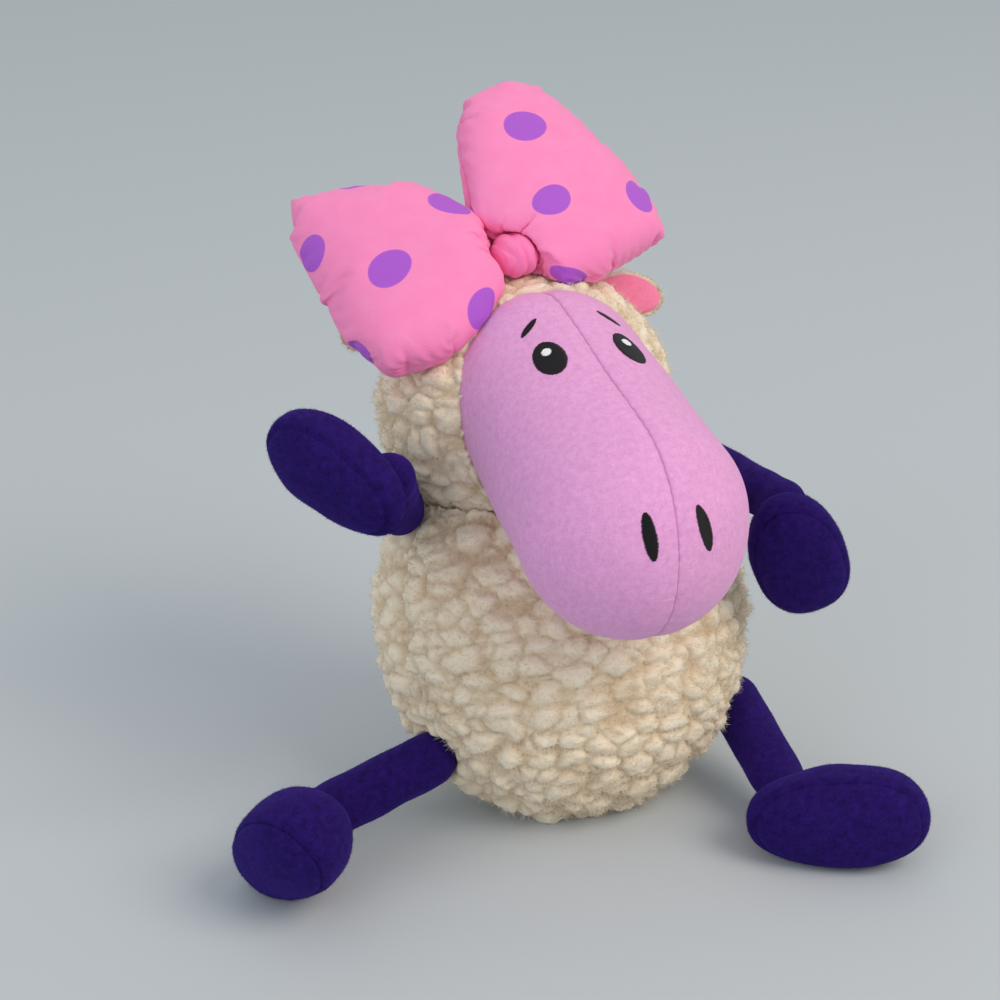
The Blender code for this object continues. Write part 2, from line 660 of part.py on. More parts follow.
def add_limb(stem, end_stem, root, aim, sizes, boot_turn, axis, travel):
    """A sleeve with its stuffing on one frame, and the boot on another at its end."""
    radius, length, size, heel = sizes
    reach = aim.normalized() * length
    root_frame = frame_at(stem + "_joint", root, turn_from(axis, -aim))
    note_joint(stem, root, axis, travel)
    turned(stem + "_skin", sleeve_outline(radius, length), 12, add_piece, root_frame, PLUSH)
    turned(stem + "_stuffing", roll_outline(radius, length), 12, add_piece, root_frame, FIBRE)
    swept = add_cutter(
        stem + "_swept",
        swept_limb_mesh(stem + "_swept", root, reach, axis, travel, radius + SOCKET_CLEARANCE),
        floor_frame)
    for piece in (body_front, body_back, body_stuffing):
        cut_where_met(piece, swept)

    ankle = root + reach
    end_frame = frame_at(end_stem + "_joint", ankle, boot_turn)
    hinge = boot_turn @ Vector((0.0, 1.0, 0.0))
    note_joint(end_stem, ankle, hinge, ANKLE_TRAVEL)
    place = Matrix.Translation(boot_centre(size, heel, radius))
    socket_mesh = swept_limb_mesh(
        end_stem + "_socket", ankle, -reach, hinge, ANKLE_TRAVEL, radius + SOCKET_CLEARANCE)
    socket = add_cutter(end_stem + "_socket", socket_mesh, floor_frame)
    seam = -size[2] / 2 * SOLE_SEAM_SHARE + boot_centre(size, heel, radius).z
    below = add_cutter(end_stem + "_below", slab(end_stem, -OVERRUN, seam + GAP / 2), end_frame)
    above = add_cutter(end_stem + "_above", slab(end_stem, seam - GAP / 2, OVERRUN), end_frame)
    inside = add_cutter(
        end_stem + "_inside", boot_ball(end_stem, size, PLUSH_THICKNESS), end_frame, place)
    upper = add_piece(end_stem + "_upper", boot_ball(end_stem, size, 0.0), end_frame, PLUSH, place)
    sole = add_piece(end_stem + "_sole", boot_ball(end_stem, size, 0.0), end_frame, PLUSH, place)
    filling = add_piece(
        end_stem + "_stuffing", boot_ball(end_stem, size, PLUSH_THICKNESS + GAP), end_frame, FIBRE, place)
    combine(upper, below)
    combine(sole, above)
    for shell in (upper, sole):
        combine(shell, inside)
        cut_where_met(shell, floor)
    for piece in (upper, filling):
        cut_where_met(piece, socket)


def boot_axes(toe, sole_out):
    """The turn of a boot from the way its toe and its sole point."""
    up = -sole_out.normalized()
    return turn_from(toe, up)


FOOT_SIZE = (FOOT_LENGTH, FOOT_WIDTH, FOOT_HEIGHT)
HAND_SIZE = (HAND_LENGTH, HAND_WIDTH, HAND_HEIGHT)
LEG_SIZES = (LEG_RADIUS, LEG_LENGTH, FOOT_SIZE, FOOT_HEEL)
ARM_SIZES = (ARM_RADIUS, ARM_LENGTH, HAND_SIZE, HAND_HEEL)

# Which way each limb, toe and sole points in this pose: heading, toe direction, sole direction
LEG_POSE = {
    "left": (Vector((-0.024, -0.953, 0.0)), Vector((0.863, -0.493, 0.109)), Vector((-0.501, -0.862, 0.075))),
    "right": (Vector((-0.962, -0.165, 0.0)), Vector((0.129, -0.764, 0.632)), Vector((-0.808, -0.451, -0.379))),
}
ARM_POSE = {
    "left": (Vector((0.182, -0.983, -0.012)), Vector((0.418, 0.145, -0.897)),
             Vector((-0.298, -0.911, -0.286)), ARM_LEFT_TRAVEL),
    "right": (Vector((-0.289, -0.751, 0.594)), Vector((-0.609, 0.599, 0.519)),
              Vector((-0.778, -0.578, -0.246)), ARM_RIGHT_TRAVEL),
}

for word, side in (("left", 1), ("right", -1)):
    heading, toe, sole_out = LEG_POSE[word]
    surface, out = body_surface(LEG_SIDE_ANGLE, LEG_RISE_ANGLE, side)
    hip = surface + out * LEG_ROOT_HEIGHT
    foot_turn = boot_axes(toe, sole_out)
    form = boot_ball("foot_trial", FOOT_SIZE, 0.0)
    low = lowest(form, boot_centre(FOOT_SIZE, FOOT_HEEL, LEG_RADIUS), foot_turn)
    drop = hip.z - (-low - FOOT_FLAT_DEPTH)
    level = math.sqrt(LEG_LENGTH ** 2 - drop ** 2)
    aim = heading.normalized() * level - Vector((0.0, 0.0, drop))
    lift_axis = aim.cross(Vector((0.0, 0.0, 1.0)))
    add_limb("leg_" + word, "foot_" + word, hip, aim, LEG_SIZES, foot_turn, lift_axis, LEG_TRAVEL)

    aim, toe, sole_out, travel = ARM_POSE[word]
    surface, out = body_surface(ARM_SIDE_ANGLE, ARM_RISE_ANGLE, side)
    shoulder = surface + out * ARM_ROOT_HEIGHT
    swing_axis = aim.cross(Vector((0.0, 0.0, 1.0)))
    add_limb("arm_" + word, "hand_" + word, shoulder, aim, ARM_SIZES,
             boot_axes(toe, sole_out), swing_axis, travel)

# Tail
body_clear = add_cutter("body_clear", body_ball("body_clear", -GAP), body_frame)
tail_root, tail_out = body_surface(math.pi, TAIL_RISE_ANGLE, 1)
tail_place = Vector((0.0, tail_root.y + TAIL_HALF_LENGTH / 2, TAIL_HALF_HEIGHT - FOOT_FLAT_DEPTH))
tail_frame = frame_at("tail_frame", tail_place, Matrix.Identity(3))
tail_radii = Vector((TAIL_HALF_WIDTH, TAIL_HALF_LENGTH, TAIL_HALF_HEIGHT))
tail = add_piece("tail_fleece", ball_mesh("tail_fleece", tail_radii, 14, 8), tail_frame, FLEECE)
cut_where_met(tail, body_clear)
cut_where_met(tail, floor)

bpy.context.view_layer.update()
for name, place, axis, travel in JOINTS:
    limits = [round(math.degrees(t), 1) for t in travel]
    print("joint", name, [round(v, 5) for v in place], [round(v, 5) for v in axis], limits)
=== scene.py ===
# %% [markdown]
# # A stuffed sheep with a big spotted bow
# The sheep is sewn from five cloths and filled with polyester: curly fleece on the body and the head,
# velour on the face, short plush on the limbs, printed cotton on the bow and pink plush in the ears.
# The CAD model says how big every piece is, where it sits and how it turns. Here each plain CAD form is
# replaced by a fuller one, with its nap, seams, stitches and creases.

# %% Load the CAD frame
import json
import math
import random
from functools import partial

import bpy
import numpy as np
from mathutils import Matrix, Vector, noise
from mathutils.bvhtree import BVHTree


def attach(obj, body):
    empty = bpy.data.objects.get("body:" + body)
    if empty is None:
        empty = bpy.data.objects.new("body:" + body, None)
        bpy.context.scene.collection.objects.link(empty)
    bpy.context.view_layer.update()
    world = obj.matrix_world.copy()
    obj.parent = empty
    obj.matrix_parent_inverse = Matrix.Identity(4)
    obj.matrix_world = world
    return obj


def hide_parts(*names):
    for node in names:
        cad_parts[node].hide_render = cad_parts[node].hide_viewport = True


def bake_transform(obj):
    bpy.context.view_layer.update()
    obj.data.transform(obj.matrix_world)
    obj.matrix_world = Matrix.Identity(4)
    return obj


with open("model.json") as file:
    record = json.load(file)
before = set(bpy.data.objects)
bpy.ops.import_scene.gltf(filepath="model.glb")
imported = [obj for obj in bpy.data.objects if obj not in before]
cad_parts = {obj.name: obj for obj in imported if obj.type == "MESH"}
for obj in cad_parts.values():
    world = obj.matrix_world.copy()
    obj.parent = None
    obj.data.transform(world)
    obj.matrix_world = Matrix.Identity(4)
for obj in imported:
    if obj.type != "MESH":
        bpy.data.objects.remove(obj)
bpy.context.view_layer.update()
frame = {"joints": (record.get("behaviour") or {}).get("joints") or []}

MM = 0.001
JOINTS = {joint["name"]: joint for joint in frame["joints"]}

# %% [markdown]
# ## Helpers
# A soft toy has hardly a flat face, so the forms start as balls that are moved point by point. A few short
# functions read and write the points of a mesh as one table, which is far quicker than a loop.


# %% Points and places
def read_table(items, field):
    values = np.empty(len(items) * 3)
    items.foreach_get(field, values)
    return values.reshape(-1, 3)


def read_points(piece):
    """The points of a mesh as rows of x, y and z."""
    return read_table(piece.data.vertices, "co")


def write_points(piece, points):
    piece.data.vertices.foreach_set("co", np.ascontiguousarray(points, dtype=float).ravel())
    piece.data.update()


def raised(piece, points, heights):
    """Write the points of a form, and give them pushed out by a height each."""
    write_points(piece, points)
    return points + read_table(piece.data.vertex_normals, "vector") * heights[:, None]


def put(points, matrix):
    """Points carried from a piece's own place to the world."""
    table = np.array(matrix)
    return points @ table[:3, :3].T + table[:3, 3]


def turn_from(x_axis, z_axis):
    """A turn whose Z is z_axis and whose X lies as near x_axis as it can."""
    up = Vector(z_axis).normalized()
    side = up.cross(Vector(x_axis)).normalized()
    return Matrix((side.cross(up), side, up)).transposed()


def place_at(where, turn):
    return Matrix.Translation(Vector(where)) @ turn.to_4x4()


def pivot(joint):
    return Vector(JOINTS[joint]["pos_m"])


# %% [markdown]
# Two starting forms do for the whole toy. A ball of even triangles has no poles, so clumps can stand
# anywhere on it. A globe of rings suits what is turned round an axis, such as a sleeve or the muzzle.


# %% Balls and globes
def add_form(name, operator, **settings):
    """Add one of Blender's own forms, with everything else deselected."""
    bpy.ops.object.select_all(action="DESELECT")
    operator(**settings)
    piece = bpy.context.active_object
    piece.name = name
    return piece


def ball(name, detail):
    """A ball of radius one, made of even triangles."""
    return add_form(name, bpy.ops.mesh.primitive_ico_sphere_add, subdivisions=detail, radius=1.0,
                    calc_uvs=False)


def globe(name, segments, rings):
    """A ball of radius one in rings."""
    return add_form(name, bpy.ops.mesh.primitive_uv_sphere_add, segments=segments, ring_count=rings,
                    radius=1.0, calc_uvs=False)


def on_line(corners, share):
    """The points at these shares of the way along a bent line."""
    steps = np.concatenate(([0.0], np.cumsum(np.linalg.norm(np.diff(corners, axis=0), axis=1))))
    return np.array([np.interp(share * steps[-1], steps, axis) for axis in corners.T]).T


def lay_on_outline(points, outline):
    """The rings of a globe laid along an outline of radii and heights, upper pole first."""
    placed = on_line(np.array(outline), np.arccos(np.clip(points[:, 2], -1.0, 1.0)) / math.pi)
    ring = np.maximum(np.hypot(points[:, 0], points[:, 1]), 1e-9)[:, None]
    return np.column_stack((points[:, :2] / ring * placed[:, :1], placed[:, 1]))


def arc(radius, height, first, last, count):
    """Points on a round, from one angle above the level to another."""
    angles = [math.radians(first + (last - first) * i / count) for i in range(count + 1)]
    return [(max(radius * math.cos(angle), 0.0), height + radius * math.sin(angle)) for angle in angles]


# %% [markdown]
# These are the tools that a hand would use: select, cut with Bisect, turn faces outwards, apply a modifier,
# duplicate. A sewn toy is made of panels, so a whole form is often cut in two closed halves at a seam.


# %% Tools of the bench
def pick(*pieces):
    """Select these pieces alone. The last one is the active one."""
    bpy.ops.object.select_all(action="DESELECT")
    for piece in pieces:
        piece.select_set(True)
    bpy.context.view_layer.objects.active = pieces[-1]


def apply_modifier(piece, modifier):
    pick(piece)
    bpy.ops.object.modifier_apply(modifier=modifier.name)


def edit_all(piece, operator, **settings):
    """Use one mesh tool on the whole of a piece, in Edit Mode."""
    pick(piece)
    bpy.ops.object.mode_set(mode="EDIT")
    bpy.ops.mesh.select_all(action="SELECT")
    operator(**settings)
    bpy.ops.object.mode_set(mode="OBJECT")


def cut_away(piece, point, normal):
    """Cut a piece along a plane, close it, and keep the part behind the plane."""
    edit_all(piece, bpy.ops.mesh.bisect, plane_co=point, plane_no=normal, use_fill=True, clear_outer=True,
             threshold=1e-7)


def twin(piece, name):
    """A copy with a mesh of its own."""
    other = piece.copy()
    other.data = piece.data.copy()
    other.name = name
    bpy.context.scene.collection.objects.link(other)
    return other


SEAM_GAP = 0.08 * MM


def cut_in_two(piece, name, place, where, way):
    """Cut a piece across one way of its place into two closed halves. It keeps the half ahead."""
    other = twin(piece, name)
    point, normal = place @ Vector(where), place.to_3x3() @ Vector(way)
    cut_away(piece, point + normal * SEAM_GAP, -normal)
    cut_away(other, point - normal * SEAM_GAP, normal)
    return other


def tree_of(*pieces):
    """A search tree over the faces of some pieces, in world places."""
    points, faces = [], []
    for piece in pieces:
        start = len(points)
        points += [piece.matrix_world @ v.co for v in piece.data.vertices]
        faces += [tuple(start + i for i in face.vertices) for face in piece.data.polygons]
    return BVHTree.FromPolygons(points, faces)


# %% [markdown]
# ## The nap of the fleece
# Curly fleece is a knitted cloth whose wool is brushed into soft clumps, 6 to 9 mm wide, that lean on each
# other. Hair alone would need far too many strands to look thick, so the clumps are moulded into the
# surface. Cell noise gives one clump per cell. The distances to the four nearest cells are blended, which
# rounds the tops and softens the creases, and bending the space first makes the cells uneven.


# %% Clumps
noise.seed_set(1)  # without a seed, noise_vector would start from the clock
CLUMP_BLEND = 7.0
DOME_WIDTH = 0.8
WALL_WIDTH = 0.5
DOME_SHARE = 0.55
TUFT_FINENESS = 2.1


def mound(spot):
    """A soft loaf over each cell of the noise: 1 on its broad top, near 0 in the crease round it."""
    gaps, centres = noise.voronoi(spot)
    near = -math.log(sum(math.exp(-CLUMP_BLEND * gap) for gap in gaps)) / CLUMP_BLEND
    dome = 1.0 - min(max(near, 0.0) / DOME_WIDTH, 1.0) ** 2
    wall = min((gaps[1] - gaps[0]) / WALL_WIDTH, 1.0)
    return DOME_SHARE * dome + (1.0 - DOME_SHARE) * wall * (2.0 - wall), centres[0]


def clumps(points, size, seed):
    """How high the nap stands at each point: near 0 in a crease and near 1 on top of a clump."""
    heights = np.empty(len(points))
    shift = Vector((seed * 17.3, seed * 5.1, seed * 9.7))
    for i, point in enumerate(points / np.array(size)):
        spot = Vector(point) + shift
        spot = spot + 0.35 * noise.noise_vector(spot * 0.8) + 0.14 * noise.noise_vector(spot * 2.3)
        clump, centre = mound(spot)
        tuft = mound(spot * TUFT_FINENESS)[0]
        own = 0.5 + 0.5 * noise.cell(centre * 5.3)
        heights[i] = 0.80 * clump * (0.72 + 0.28 * own) + 0.14 * tuft + 0.06 * noise.noise(spot * 3.5)
    return heights


def mark_nap(piece, heights):
    """Keep the height of the nap on the mesh, where the material reads it for its bump and to paint shade
    into the creases.
    """
    layer = piece.data.attributes.new("nap", "FLOAT", "POINT")
    layer.data.foreach_set("value", np.asarray(heights, dtype=float))


def lumps(points, size, seed):
    """Gentle swells from -1 to 1, for uneven filling."""
    shift = Vector((seed * 3.7, seed * 11.9, seed * 2.3))
    return np.array([noise.noise(Vector(point) + shift) for point in points / size])


# %% [markdown]
# Single fibres stand off the cloth all over and make its outline soft. One fibre is modelled as a thin
# cone, an Array modifier repeats it, and every copy is then set on the cloth with its own lean and bend.


# %% Loose fibres
LOOSE_NAP = 1.3  # above 1, which tells the fleece material that this is a fibre
FIBRE_WAIST = 0.55
FIBRE_ROOT = 0.15 * MM
FIBRE_LEAN = 0.75
FIBRE_CURL = 0.45
SHORTEST_FIBRE = 0.45


def one_fibre():
    """A three-sided cone, one unit long, with a ring halfway so that it can bend."""
    piece = add_form("fibre", bpy.ops.mesh.primitive_cone_add, vertices=3, radius1=1.0, radius2=0.0,
                     depth=1.0, location=(0, 0, 0.5))
    bpy.ops.object.transform_apply(location=True, rotation=True, scale=True)
    edit_all(piece, bpy.ops.mesh.bisect, plane_co=(0.0, 0.0, FIBRE_WAIST), plane_no=(0.0, 0.0, 1.0))
    return piece


def fuzz(piece, count, length, width, seed, neighbours=(), clear=0.0):
    """Set loose fibres on a finished piece, where they stay clear of the neighbours and of the floor."""
    dice = np.random.default_rng(seed)
    points = read_points(piece)
    roots = dice.choice(len(points), count, replace=False)
    out = read_table(piece.data.vertex_normals, "vector")[roots]
    lean = dice.normal(size=(count, 3)) * FIBRE_LEAN
    way = out + lean - out * np.minimum((lean * out).sum(axis=1), 0.0)[:, None]
    way /= np.linalg.norm(way, axis=1, keepdims=True)
    curl = dice.normal(size=(count, 3))
    curl -= way * (curl * way).sum(axis=1)[:, None]
    curl /= np.linalg.norm(curl, axis=1, keepdims=True)
    side = np.cross(curl, way)
    reach = length * dice.uniform(SHORTEST_FIBRE, 1.0, count)[:, None]
    start = points[roots] - out * FIBRE_ROOT
    tips = start + reach * (way + curl * FIBRE_CURL)
    fits = (tips[:, 2] > 0.2 * MM) & (start[:, 2] > 0.4 * MM)
    for distance in neighbours:
        fits &= (distance(tips) > clear) & (distance(points[roots]) > clear)
    start, way, curl, side, reach = (rows[fits][:, None, :] for rows in (start, way, curl, side, reach))
    fibre = one_fibre()
    across, along, bend = (read_points(fibre)[:, axis][None, :, None] for axis in range(3))
    many = fibre.modifiers.new("many", "ARRAY")
    many.count = len(start)
    apply_modifier(fibre, many)
    placed = (start + way * reach * bend + curl * (along * width + reach * FIBRE_CURL * bend ** 2)
              + side * (across * width))
    write_points(fibre, placed.reshape(-1, 3))
    if piece.data.attributes.get("nap") is not None:
        mark_nap(fibre, np.full(len(fibre.data.vertices), LOOSE_NAP))
    pick(fibre, piece)
    bpy.ops.object.join()
    print(piece.name, "has", len(start), "loose fibres")


# %% [markdown]
# ## Room for the neighbours
# Soft pieces press against each other but never share space. A point of one piece that lies inside a
# neighbour is drawn in towards its own middle until it is clear. The neighbours are simple forms whose
# distance is easy to work out: a tapered roll for the muzzle and the limbs, and an egg for the head.


# %% Distances
def roll_distance(start, end, radius, end_radius=None):
    start, axis = np.array(start), np.array(end) - np.array(start)
    growth = 0.0 if end_radius is None else end_radius - radius

    def distance(points):
        along = np.clip((points - start) @ axis / (axis @ axis), 0.0, 1.0)
        away = np.linalg.norm(points - (start + along[:, None] * axis), axis=1)
        return away - (radius + growth * along)
    return distance


def egg_distance(place, radii):
    def distance(points):
        local = put(points, place.inverted())
        size = np.linalg.norm(local / radii, axis=1)
        return (size - 1.0) * np.linalg.norm(local, axis=1) / np.maximum(size, 1e-9)
    return distance


def mesh_distance(tree):
    def distance(points):
        result = np.full(len(points), 1.0)
        for i, point in enumerate(points):
            where, normal, face, gap = tree.find_nearest(Vector(point), 0.02)
            if where is not None:
                result[i] = gap if (Vector(point) - where).dot(normal) > 0 else -gap
        return result
    return distance


def make_room(points, middle, neighbours, clear, step=0.15 * MM, most=400):
    """Draw the points that are too near a neighbour in towards the middle."""
    middle = np.array(middle)
    points = points.copy()
    for distance in neighbours:
        tight = np.nonzero(distance(points) < clear)[0]
        for _ in range(most):
            if not len(tight):
                break
            way = middle - points[tight]
            length = np.linalg.norm(way, axis=1, keepdims=True)
            points[tight] += way / np.maximum(length, 1e-9) * np.minimum(step, length)
            tight = tight[distance(points[tight]) < clear]
    return points


# %% [markdown]
# ## Cloths and threads
# Each material is named for the real one. Colours are read off as sRGB hex and turned to linear light in
# one place. Each pattern's scale is a length in millimetres: Object coordinates are metres here, so a
# texture scale of 1000 / n repeats every n millimetres.


# %% Colour and node helpers
def linear(colour):
    """An sRGB hex colour as linear light."""
    channels = [int(colour[i:i + 2], 16) / 255 for i in (0, 2, 4)]
    return [c / 12.92 if c <= 0.04045 else ((c + 0.055) / 1.055) ** 2.4 for c in channels] + [1.0]


def per_mm(length):
    """The texture scale that repeats every so many millimetres."""
    return 1.0 / (length * MM)


def new_finish(name):
    """An empty material, and the function that adds nodes to it."""
    finish = bpy.data.materials.new(name)
    finish.use_nodes = True
    finish.node_tree.nodes.clear()
    return finish, partial(add_node, finish)


def add_node(finish, kind, sockets, **settings):
    """One node: its settings, then a constant, a socket or another node's first output for each socket."""
    node = finish.node_tree.nodes.new("ShaderNode" + kind)
    for name, value in settings.items():
        setattr(node, name, value)
    for socket, value in sockets.items():
        if isinstance(value, bpy.types.Node):
            value = value.outputs[0]
        if isinstance(value, bpy.types.NodeSocket):
            finish.node_tree.links.new(value, node.inputs[socket])
        else:
            node.inputs[socket].default_value = value
    return node


def finish_with(finish, **sockets):
    """The surface itself, linked to the output."""
    names = {name.replace("_", " "): value for name, value in sockets.items()}
    shader = add_node(finish, "BsdfPrincipled", names)
    add_node(finish, "OutputMaterial", {"Surface": shader})
    return finish


# %% [markdown]
# Curly fleece is dull and thick. Light gets a little way into it, so its creases glow warm and never go
# black. The height of the nap, kept on the mesh as the attribute "nap", paints shade into the colour: the
# creases are painted darker and browner than the clump tops. Fine uneven noise stands for the wisps on each
# clump. Loose fibres have a nap above 1: they take the light top colour with no painted shade, and are left
# smooth. On a colour mix, sockets 0, 6 and 7 are the factor and the two colours, and output 2 is the
# result.


# %% Fleece
def sherpa_fleece():
    finish, add = new_finish("sherpa_fleece")
    spot = add("TexCoord", {}).outputs["Object"]
    nap = add("Attribute", {}, attribute_name="nap").outputs["Fac"]
    patch = add("TexNoise", {"Vector": spot, "Scale": per_mm(11.0), "Detail": 2.0, "Roughness": 0.5})
    wisps = add("TexNoise", {"Vector": spot, "Scale": per_mm(1.3), "Detail": 5.0, "Roughness": 0.7,
                             "Distortion": 1.2})
    # painted shade: the wool colour runs from a darker, browner tone where the nap is low, in the creases,
    # to the light tone on the clump tops
    painted_shade_factor = add("MapRange", {"Value": nap, "From Min": 0.1, "From Max": 0.75},
                interpolation_type="SMOOTHSTEP")
    wool_with_painted_shade = add("Mix", {0: painted_shade_factor, 6: linear("dcc6a6"), 7: linear("f9eed9")}, data_type="RGBA").outputs[2]
    warm = add("Mix", {0: patch, 6: wool_with_painted_shade, 7: linear("faf1e4")}, data_type="RGBA",
               blend_type="MULTIPLY").outputs[2]
    rough = add("MapRange", {"Value": nap, "From Min": 1.0, "From Max": 1.2, "To Min": 0.4, "To Max": 0.0})
    glow = add("MapRange", {"Value": nap, "From Min": 1.0, "From Max": 1.2, "To Min": 0.25, "To Max": 0.0})
    bump = add("Bump", {"Height": wisps, "Strength": rough, "Distance": 0.8 * MM})
    return finish_with(
        finish, Base_Color=warm, Roughness=0.95, Normal=bump, Specular_IOR_Level=0.15, Sheen_Weight=0.35,
        Sheen_Roughness=0.6, Sheen_Tint=linear("fff4e4"), Subsurface_Weight=glow,
        Subsurface_Radius=(1.0, 0.8, 0.6), Subsurface_Scale=2.0 * MM)


FLEECE = sherpa_fleece()
print("made", FLEECE.name)

# %% [markdown]
# Velour is a knit with a very short sheared pile. It has no gloss but a soft light rim, and its pile lies
# this way and that, which mottles it at about 2 mm. Plush, the ears' pink cloth and the knot's smooth
# cotton are built the same way, each at its own scale.


# %% Velour and plush
def napped_cloth(name, low, high, mottle, pile, bump_depth, sheen, rim):
    """A pile cloth: two tones mottled at one scale, and a bump at the scale of its pile, in mm."""
    finish, add = new_finish(name)
    spot = add("TexCoord", {}).outputs["Object"]
    tone = add("TexNoise", {"Vector": spot, "Scale": per_mm(mottle), "Detail": 6.0, "Roughness": 0.62})
    nap = add("TexNoise", {"Vector": spot, "Scale": per_mm(pile), "Detail": 4.0, "Roughness": 0.8})
    both = add("Math", {0: tone, 1: nap}, operation="ADD")
    level = add("MapRange", {"Value": both, "From Min": 0.7, "From Max": 1.3})
    colour = add("Mix", {0: level, 6: linear(low), 7: linear(high)}, data_type="RGBA").outputs[2]
    bump = add("Bump", {"Height": nap, "Strength": 0.5, "Distance": bump_depth * MM})
    return finish_with(finish, Base_Color=colour, Roughness=0.9, Normal=bump, Sheen_Weight=sheen,
                       Sheen_Roughness=0.45, Sheen_Tint=linear(rim), Specular_IOR_Level=0.12)


VELOUR = napped_cloth("polyester_velour", "dc96c9", "f4b0e1", 2.0, 0.5, 0.25, 0.35, "fadcf4")
PLUSH = napped_cloth("short_pile_plush", "150740", "311671", 2.6, 0.7, 0.5, 0.35, "5f40d0")
LINING = napped_cloth("pink_minky", "fb7ca4", "ff95b8", 2.2, 0.6, 0.3, 0.4, "ffd0e0")
KNOT_COTTON = napped_cloth("pink_cotton_band", "fb78b0", "ff90c4", 3.0, 0.6, 0.12, 0.15, "ffd0e0")
print("made", [cloth.name for cloth in (VELOUR, PLUSH, LINING, KNOT_COTTON)])

# %% [markdown]
# The bow is a printed plain-weave cotton: purple dots, 14 mm wide, in square rows on pink. The print is
# laid out in real millimetres on each flat panel's own UV map, so that the dots bend and wrinkle with the
# cloth and are cut at the seams, as a real print is. The weave is drawn at 0.6 mm, coarser than real.


# %% Printed cotton
DOT_RADIUS = 7.0
DOT_PITCH = 35.4
DOT_EDGE = 0.006
THREAD_PITCH = 0.6


def printed_cotton():
    finish, add = new_finish("printed_cotton")
    flat = add("UVMap", {}, uv_map="cloth").outputs[0]
    split = add("SeparateXYZ", {0: flat})
    squares = []
    for axis in (0, 1):
        cell = add("Math", {0: split.outputs[axis], 1: per_mm(DOT_PITCH), 2: 0.5}, operation="MULTIPLY_ADD")
        wrapped = add("Math", {0: cell, 1: 1.0, 2: 0.0}, operation="WRAP")
        centred = add("Math", {0: wrapped, 1: 0.5}, operation="SUBTRACT")
        squares.append(add("Math", {0: centred, 1: 2.0}, operation="POWER"))
    total = add("Math", {0: squares[0], 1: squares[1]}, operation="ADD")
    from_dot = add("Math", {0: total}, operation="SQRT")
    edge = DOT_RADIUS / DOT_PITCH
    dot = add("MapRange", {"Value": from_dot, "From Min": edge - DOT_EDGE, "From Max": edge + DOT_EDGE,
                           "To Min": 1.0, "To Max": 0.0})
    tint = add("TexNoise", {"Vector": flat, "Scale": per_mm(9.0), "Detail": 3.0})
    pink = add("Mix", {0: tint, 6: linear("fe84ba"), 7: linear("ff97c8")}, data_type="RGBA").outputs[2]
    colour = add("Mix", {0: dot, 6: pink, 7: linear("b05ad0")}, data_type="RGBA").outputs[2]
    threads = [add("TexWave", {"Vector": flat, "Scale": per_mm(THREAD_PITCH) / 6.283}, wave_type="BANDS",
                   bands_direction=way).outputs["Fac"] for way in ("X", "Y")]
    weave = add("Math", {0: threads[0], 1: threads[1]}, operation="MULTIPLY")
    bump = add("Bump", {"Height": weave, "Strength": 0.35, "Distance": 0.12 * MM})
    return finish_with(
        finish, Base_Color=colour, Roughness=0.8, Normal=bump, Specular_IOR_Level=0.25, Sheen_Weight=0.2,
        Sheen_Roughness=0.5, Sheen_Tint=linear("ffd6e8"), Subsurface_Weight=0.08,
        Subsurface_Radius=(1.0, 0.5, 0.6), Subsurface_Scale=1.0 * MM)


COTTON = printed_cotton()
print("made", COTTON.name, "with dots", 2 * DOT_RADIUS, "mm wide")

# %% [markdown]
# Embroidery thread is smooth rayon, so it has a small clear shine along each stitch.


# %% Threads
def rayon(name, colour):
    finish, add = new_finish(name)
    spot = add("TexCoord", {}).outputs["Object"]
    twist = add("TexNoise", {"Vector": spot, "Scale": per_mm(0.5), "Detail": 3.0})
    level = add("MapRange", {"Value": twist, "To Min": 0.32, "To Max": 0.5})
    return finish_with(finish, Base_Color=linear(colour), Roughness=level, Specular_IOR_Level=0.3)


THREADS = {"black_thread": rayon("black_rayon_thread", "0e0d10"),
           "white_thread": rayon("white_rayon_thread", "f2f1f4")}
print("made", [thread.name for thread in THREADS.values()])

# %% [markdown]
# Every finished piece gets its name and cloth the same way. It rides on a body, or is left in world places
# when a blend is given, and the CAD solids that it stands for are hidden.


# %% Finishing a piece
def hand_in(piece, name, finish, body, replaces, blend=None):
    """Give a finished piece its name and cloth, set it on its body or leave it in world places, and hide
    the CAD solids that it replaces.
    """
    piece.name = name
    piece.data.name = name
    piece.data.materials.clear()
    piece.data.materials.append(finish)
    pick(piece)
    bpy.ops.object.shade_smooth()
    if blend is None:
        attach(piece, body)
    else:
        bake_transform(piece)
    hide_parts(*replaces)
    low, high = read_points(piece).min(axis=0) / MM, read_points(piece).max(axis=0) / MM
    print(name, len(piece.data.polygons), "faces,", (high - low).round(1), "mm")


# %% [markdown]
# ## The main forms in their places
# The body is an egg that leans back. The head is a ball on the neck hinge, and the muzzle is a long
# rounded cone that starts inside it. These are the CAD model's own sizes.

# %% Places of the body, the head and the muzzle
BODY_RADII = np.array((63.0, 47.0, 69.0)) * MM
BODY_TAPER = 0.03
BODY_LEAN = math.radians(25.0)
BODY_PLACE = Matrix.Translation((0.0, 14.897 * MM, 60.513 * MM)) @ Matrix.Rotation(-BODY_LEAN, 4, "X")
BODY_SEAM = -12.0 * MM

HEAD_RADII = np.array((48.0, 44.0, 44.0)) * MM
HEAD_TWIST = math.radians(0.5)
HEAD_PLACE = Matrix.Translation(pivot("neck_nod")) @ Matrix.Rotation(HEAD_TWIST, 4, "Z")
MUZZLE_DROP = math.radians(18.5)
MUZZLE_PLACE = (HEAD_PLACE @ Matrix.Translation((0.0, -23.8 * MM, 11.2 * MM))
                @ Matrix.Rotation(MUZZLE_DROP - math.pi / 2, 4, "X"))
MUZZLE_LENGTH = 63.3 * MM
BROW_RADIUS = 32.2 * MM
SNOUT_RADIUS = 34.8 * MM

